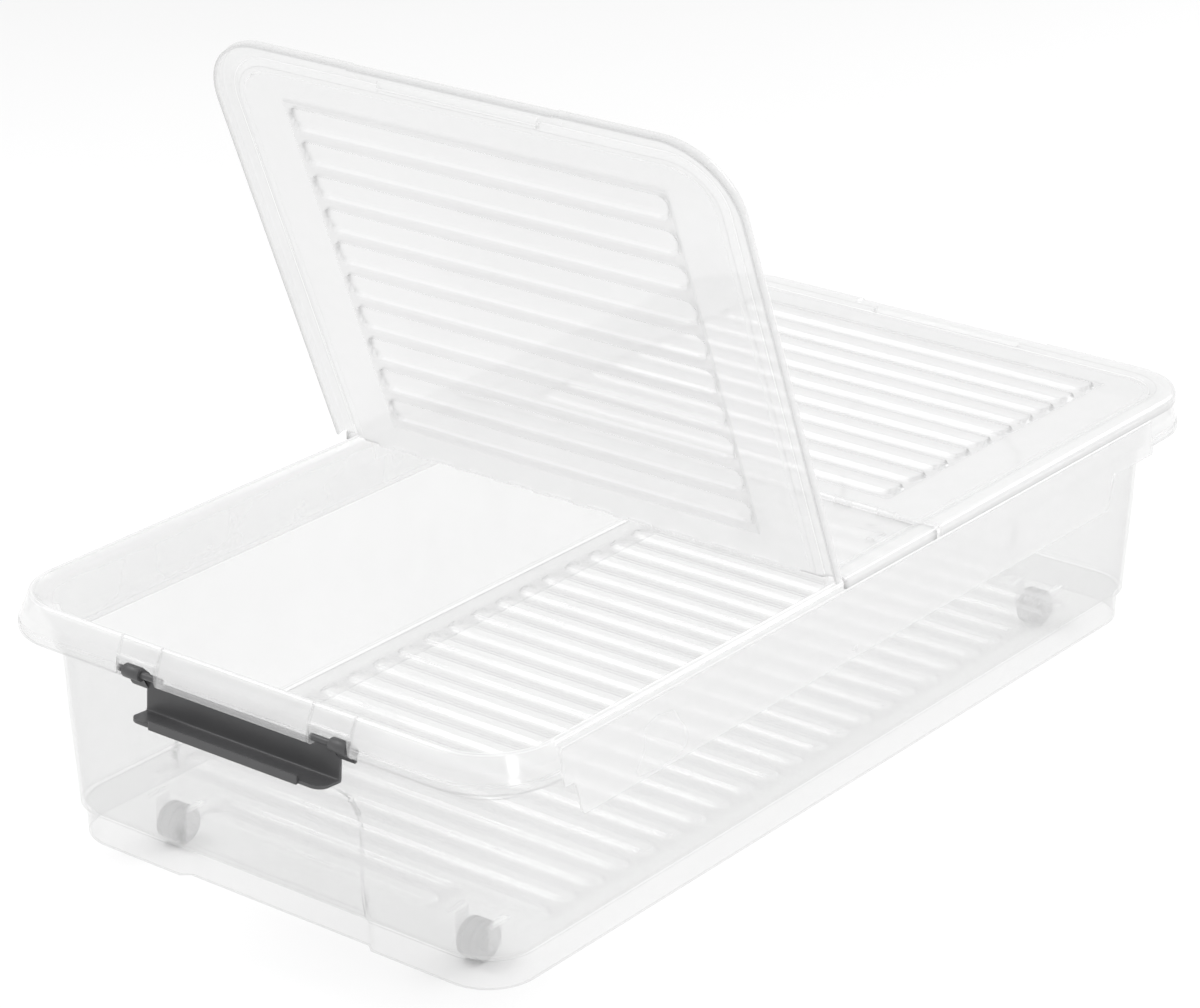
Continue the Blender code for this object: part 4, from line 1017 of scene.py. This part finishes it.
def knuckle_bodies(tub, end):
    """Blocks on a panel's edge round its hinge bar, and the bar itself."""
    degrees = np.linspace(-90.0, 160.0, 12) if end < 0 else np.linspace(270.0, 20.0, 12)
    foot_y = end * (HINGE_HALF + 0.0046)
    foot = [(foot_y, HINGE_Z - 0.0014), (foot_y, HINGE_Z - 0.0026)]
    outline = np.concatenate([hinge_ring(end, KNUCKLE_ROUND, degrees), foot])
    reach = knuckle_reach(tub)
    places = np.arange(-reach, reach + 1) * KNUCKLE_PITCH
    bodies = [prism(outline, x - KNUCKLE_HALF, x + KNUCKLE_HALF) for x in places]
    circle = hinge_ring(end, HINGE_BAR, np.linspace(0.0, 360.0, 20, endpoint=False))
    bodies.append(prism(circle, places[0] - 0.006, places[-1] + 0.006))
    return bodies


def clip_bodies(tub):
    """Open clips on the bridge, each a bent strip round the upper side of a hinge bar with a foot."""
    reach = knuckle_reach(tub)
    middles = (np.arange(-reach, reach) + 0.5) * KNUCKLE_PITCH
    bodies = []
    arc = np.radians(np.linspace(-18.0, 198.0, 14))
    ring = np.column_stack([np.cos(arc), np.sin(arc)])
    for end in (-1, 1):
        centre = np.array([end * HINGE_HALF, HINGE_Z])
        turn = ring * (end, 1.0)
        outer = np.concatenate([turn * 0.0025, [(-end * 0.0046, -0.0012)]]) + centre
        inner = np.concatenate([turn * 0.0016, [(-end * 0.0044, -0.0026)]]) + centre
        bodies += [strip_body(outer, inner, middle + np.array([-0.0094, 0.0094])) for middle in middles]
    return bodies


def tongue_bodies(tub):
    """Snap tongues under the bridge that drop inside the rim."""
    line = [(0.0100, -0.0002), (0.0112, 0.006), (0.0130, 0.0148)]
    line = np.array([(tub.half_width - inward, tub.ridge_z - drop) for inward, drop in line])
    bodies = []
    for place in (-0.040, 0.040):
        x, y = np.meshgrid(line[:, 0], place + np.array([-0.0058, 0.0, 0.0058]))
        top = toned(np.stack([x, y, np.broadcast_to(line[:, 1], x.shape)], axis=2))
        body = sheet(top, top - (tub.wall, 0.0, 0.0, 0.0))
        bodies += [body, mirrored(body, 0)]
    return bodies


class BEDBOX_OT_bridge(bpy.types.Operator):
    """Build the bridge between the panels, with its snap tongues"""

    bl_idname = "bed_box.bridge"
    bl_label = "Bridge"

    def execute(self, context):
        tub, lid = context.scene.bed_box_tub, context.scene.bed_box_lid
        clear = finish_named("clear_lid")
        bridge = "lid_bridge"
        make_piece("bridge_sheet", [bridge_body(tub, lid)], clear, bridge, [bridge])
        make_piece("bridge_tongues", tongue_bodies(tub), clear, bridge)
        return {"FINISHED"}


class BEDBOX_OT_hinges(bpy.types.Operator):
    """Build the hinge knuckles and bars of both panels and the clips of the bridge"""

    bl_idname = "bed_box.hinges"
    bl_label = "Hinges"

    def execute(self, context):
        tub = context.scene.bed_box_tub
        clear = finish_named("clear_lid")
        make_piece("rear_knuckles", knuckle_bodies(tub, 1), clear, "rear_lid_panel")
        front = [turned(body, -HINGE_HALF, HINGE_Z, -OPEN_TURN) for body in knuckle_bodies(tub, -1)]
        make_piece("front_knuckles", front, clear, "front_lid_panel")
        make_piece("bridge_clips", clip_bodies(tub), clear, "lid_bridge")
        return {"FINISHED"}


# ---------------------------------------------------------------- latch
def latch_place(body):
    """A latch body drawn closed, with its pivot at the origin, swung open about its pins."""
    points = body[0] * (1.0, -1.0, 1.0, 1.0) + np.array([0.0, PIVOT[1], PIVOT[2], 0.0])
    return turned((points, body[1][:, ::-1]), PIVOT[1], PIVOT[2], LATCH_TURN)


def latch_plate_bodies():
    """The latch's plate and lip: a bent strip with rounded edges, its lip rounded at both ends."""
    outer = np.array([(0.0080, 0.0052), (0.0080, 0.0262), (0.0074, 0.0268), (LIP_END, 0.0268)])
    inner = np.array([(0.0058, 0.0052), (0.0058, 0.0238), (0.0050, 0.0246), (LIP_END, 0.0246)])
    outer = densify(fillet(outer, 0.0022, False), 0.002, False)
    inner = densify(fillet(inner, 0.0014, False), 0.002, False)
    share, own_share = np.linspace(0, 1, len(outer)), np.linspace(0, 1, len(inner))
    inner = np.column_stack([np.interp(share, own_share, axis) for axis in inner.T])
    ends = LATCH_HALF - np.array([0.0, 0.0003, 0.0010, 0.0020, 0.0032, 0.0045, 0.0060, 0.0080])
    x = np.concatenate([-ends, np.linspace(-0.066, 0.066, 34), ends[::-1]])
    narrow = 1.0 - 0.30 * (np.abs(x) > 0.0779) - 0.08 * (np.abs(np.abs(x) - 0.0777) < 0.0001)
    into = np.clip(np.abs(x) - (LATCH_HALF - LIP_CORNER), 0.0, LIP_CORNER)
    lip_end = LIP_END + LIP_CORNER - np.sqrt(np.maximum(LIP_CORNER**2 - into**2, 0.0))
    return [strip_body(outer, inner, x, narrow, lip_end)]


def latch_hook_bodies():
    """The fold along the lip that hooks over the lid's border."""
    outer = np.array([(-0.0118, 0.0274), (-0.0118, 0.0216)])
    inner = np.array([(-0.0099, 0.0268), (-0.0099, 0.0216)])
    ends = np.array([HOOK_HALF, HOOK_HALF - 0.0004])
    x = np.concatenate([-ends, np.linspace(-0.059, 0.059, 24), ends[::-1]])
    narrow = np.ones(len(x))
    narrow[[0, -1]] = 0.7
    return [strip_body(outer, inner, x, narrow)]


def latch_ear_bodies():
    """Two rounded ears that carry the pins, one at each end of the plate."""
    arc = np.radians(np.linspace(60.0, 290.0, 14))
    ring = 0.0046 * np.column_stack([np.cos(arc), np.sin(arc)])
    foot = [(0.0058, -0.0006), (0.0080, 0.0012), (0.0080, 0.0110), (0.0058, 0.0110), (0.0044, 0.0060)]
    outline = fillet(np.concatenate([ring, foot]), 0.0008, True)
    ear = prism(outline, 0.0765, 0.0900, 0.0008)
    return [ear, mirrored(ear, 0)]


def latch_pin_bodies():
    """Round pins with a small chamfer on both sides of each ear."""
    r, shoulder = PIN_RADIUS, PIN_RADIUS - 0.0004
    profile = np.array([(0.0, 0.0), (0.0, shoulder), (0.0004, r), (0.0170, r), (0.0170, 0.0)])
    inner = moved(lathe(profile, 20), x=0.0600)
    profile = np.array([(0.0, 0.0), (0.0, r), (0.0096, r), (0.0100, shoulder), (0.0100, 0.0)])
    outer = moved(lathe(profile, 20), x=0.0859)
    return [inner, mirrored(inner, 0), outer, mirrored(outer, 0)]


class BEDBOX_OT_latch(bpy.types.Operator):
    """Build the dark latch hanging open at the front"""

    bl_idname = "bed_box.latch"
    bl_label = "Latch"

    def execute(self, context):
        dark = finish_named("dark_latch")
        named = {
            "latch_plate": latch_plate_bodies(),
            "latch_hook": latch_hook_bodies(),
            "latch_ears": latch_ear_bodies(),
            "latch_pins": latch_pin_bodies(),
        }
        for name, bodies in named.items():
            placed = [latch_place(body) for body in bodies]
            stands_for = ["front_latch"] if name == "latch_plate" else []
            make_piece(name, placed, dark, "front_latch", stands_for)
        return {"FINISHED"}


# ---------------------------------------------------------------- wheels
def wheel_bodies():
    """One wheel about X at the origin: a crowned barrel with two grooves, dished ends and stub axles."""
    half, r, axle = 0.0080, WHEEL_HIGH.z / 2, 0.0025
    edge = [
        (0.0136, 0.0),
        (0.0136, axle - 0.0004),
        (0.0132, axle),
        (half + 0.0014, axle),
        (half + 0.0012, axle + 0.0006),
        (half + 0.0010, r * 0.44),
        (half + 0.0002, r * 0.47),
        (half - 0.0012, r * 0.52),
        (half - 0.0012, r * 0.76),
        (half - 0.0002, r * 0.82),
        (half, r * 0.88),
        (half - 0.0006, r * 0.96),
        (half - 0.0018, r * 0.995),
        (half * 0.60, r),
        (half * 0.56, r * 0.985),
        (half * 0.53, r * 0.93),
        (half * 0.42, r * 0.93),
        (half * 0.38, r * 0.985),
        (half * 0.32, r),
        (0.0, r),
    ]
    edge = np.array(edge)
    profile = np.concatenate([edge, edge[-2::-1] * (-1.0, 1.0)])
    return [lathe(profile, 56)]


class BEDBOX_OT_wheels(bpy.types.Operator):
    """Build the four grey wheels"""

    bl_idname = "bed_box.wheels"
    bl_label = "Wheels"

    def execute(self, context):
        grey = finish_named("grey_wheel")
        for name in ("front_left", "front_right", "rear_left", "rear_right"):
            node = "wheel_" + name
            low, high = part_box(node)
            centre = (low + high) / 2
            placed = [moved(body, centre.x, centre.y, centre.z) for body in wheel_bodies()]
            make_piece("roller_" + name, placed, grey, node, [node])
        return {"FINISHED"}


# ---------------------------------------------------------------- studio
def add_light(name, place, aim, size, power):
    """A soft square lamp at a place, aimed at a point."""
    lamp = bpy.data.lights.new(name, "AREA")
    lamp.shape = "RECTANGLE"
    lamp.size, lamp.size_y = size
    lamp.energy = power
    item = bpy.data.objects.new(name, lamp)
    bpy.context.scene.collection.objects.link(item)
    item.location = place
    item.rotation_euler = (Vector(aim) - Vector(place)).to_track_quat("-Z", "Y").to_euler()


class BEDBOX_OT_studio(bpy.types.Operator):
    """Build the floor, the lamps and the camera"""

    bl_idname = "bed_box.studio"
    bl_label = "Studio"

    def execute(self, context):
        scene = context.scene
        view = scene.bed_box_view
        side = np.linspace(-9.0, 9.0, 31)
        x, y = np.meshgrid(side, side)
        ground = np.stack([x, y, np.full(x.shape, -0.0002)], axis=2)
        mesh = bpy.data.meshes.new("studio_floor")
        mesh.from_pydata(ground.reshape(-1, 3), [], quads(31, 31).tolist())
        mesh.materials.append(studio_finish(tuple(scene.bed_box_colours.studio)))
        floor = bpy.data.objects.new("studio_floor", mesh)
        scene.collection.objects.link(floor)
        world = bpy.data.worlds.new("studio_air")
        world.use_nodes = True
        world.node_tree.nodes["Background"].inputs["Color"].default_value = (1.0, 1.0, 1.0, 1.0)
        world.node_tree.nodes["Background"].inputs["Strength"].default_value = 0.82
        scene.world = world
        add_light("key_lamp", (-1.6, -0.9, 2.4), (0.0, 0.0, 0.1), (1.6, 1.2), 24.0)
        add_light("rim_lamp", (0.8, 2.2, 1.5), (0.0, 0.1, 0.15), (2.0, 0.8), 15.0)
        add_light("side_lamp", (2.0, -1.0, 0.9), (0.0, -0.1, 0.1), (0.5, 1.4), 9.0)
        scene.view_settings.view_transform = "Standard"
        scene.cycles.transparent_max_bounces = 40
        level = math.cos(view.elevation)
        along_x, along_y = math.sin(view.azimuth) * level, -math.cos(view.azimuth) * level
        back = Vector((along_x, along_y, math.sin(view.elevation)))
        lens = bpy.data.cameras.new("camera")
        lens.lens = view.lens
        lens.sensor_width = 36.0
        camera = bpy.data.objects.new("camera", lens)
        scene.collection.objects.link(camera)
        camera.location = LOOK_AT + back * view.distance
        camera.rotation_euler = back.to_track_quat("Z", "Y").to_euler()
        scene.camera = camera
        return {"FINISHED"}


# ---------------------------------------------------------------- add-on
OPERATORS = (
    BEDBOX_OT_tub,
    BEDBOX_OT_tub_fittings,
    BEDBOX_OT_lid_panels,
    BEDBOX_OT_bridge,
    BEDBOX_OT_hinges,
    BEDBOX_OT_latch,
    BEDBOX_OT_wheels,
    BEDBOX_OT_studio,
)


class BEDBOX_PT_panel(bpy.types.Panel):
    """Lists the pieces of the box"""

    bl_idname = "BEDBOX_PT_panel"
    bl_label = "Under bed box"
    bl_space_type = "VIEW_3D"
    bl_region_type = "UI"
    bl_category = "Bed Box"

    def draw(self, context):
        for operator in OPERATORS:
            self.layout.operator(operator.bl_idname)


GROUPS = {
    "bed_box_tub": TubSizes,
    "bed_box_lid": LidSizes,
    "bed_box_colours": FinishColours,
    "bed_box_view": StudioView,
}


def register():
    """Register every class and hang the settings on the scene."""
    for group in (*GROUPS.values(), *OPERATORS, BEDBOX_PT_panel):
        bpy.utils.register_class(group)
    for name, group in GROUPS.items():
        setattr(bpy.types.Scene, name, PointerProperty(type=group))


def unregister():
    """Undo register."""
    for name in GROUPS:
        delattr(bpy.types.Scene, name)
    for group in (BEDBOX_PT_panel, *OPERATORS[::-1], *GROUPS.values()):
        bpy.utils.unregister_class(group)


def main():
    """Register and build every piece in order."""
    register()
    bpy.ops.bed_box.tub()
    bpy.ops.bed_box.tub_fittings()
    bpy.ops.bed_box.lid_panels()
    bpy.ops.bed_box.bridge()
    bpy.ops.bed_box.hinges()
    bpy.ops.bed_box.latch()
    bpy.ops.bed_box.wheels()
    bpy.ops.bed_box.studio()


if __name__ == "__main__":
    main()
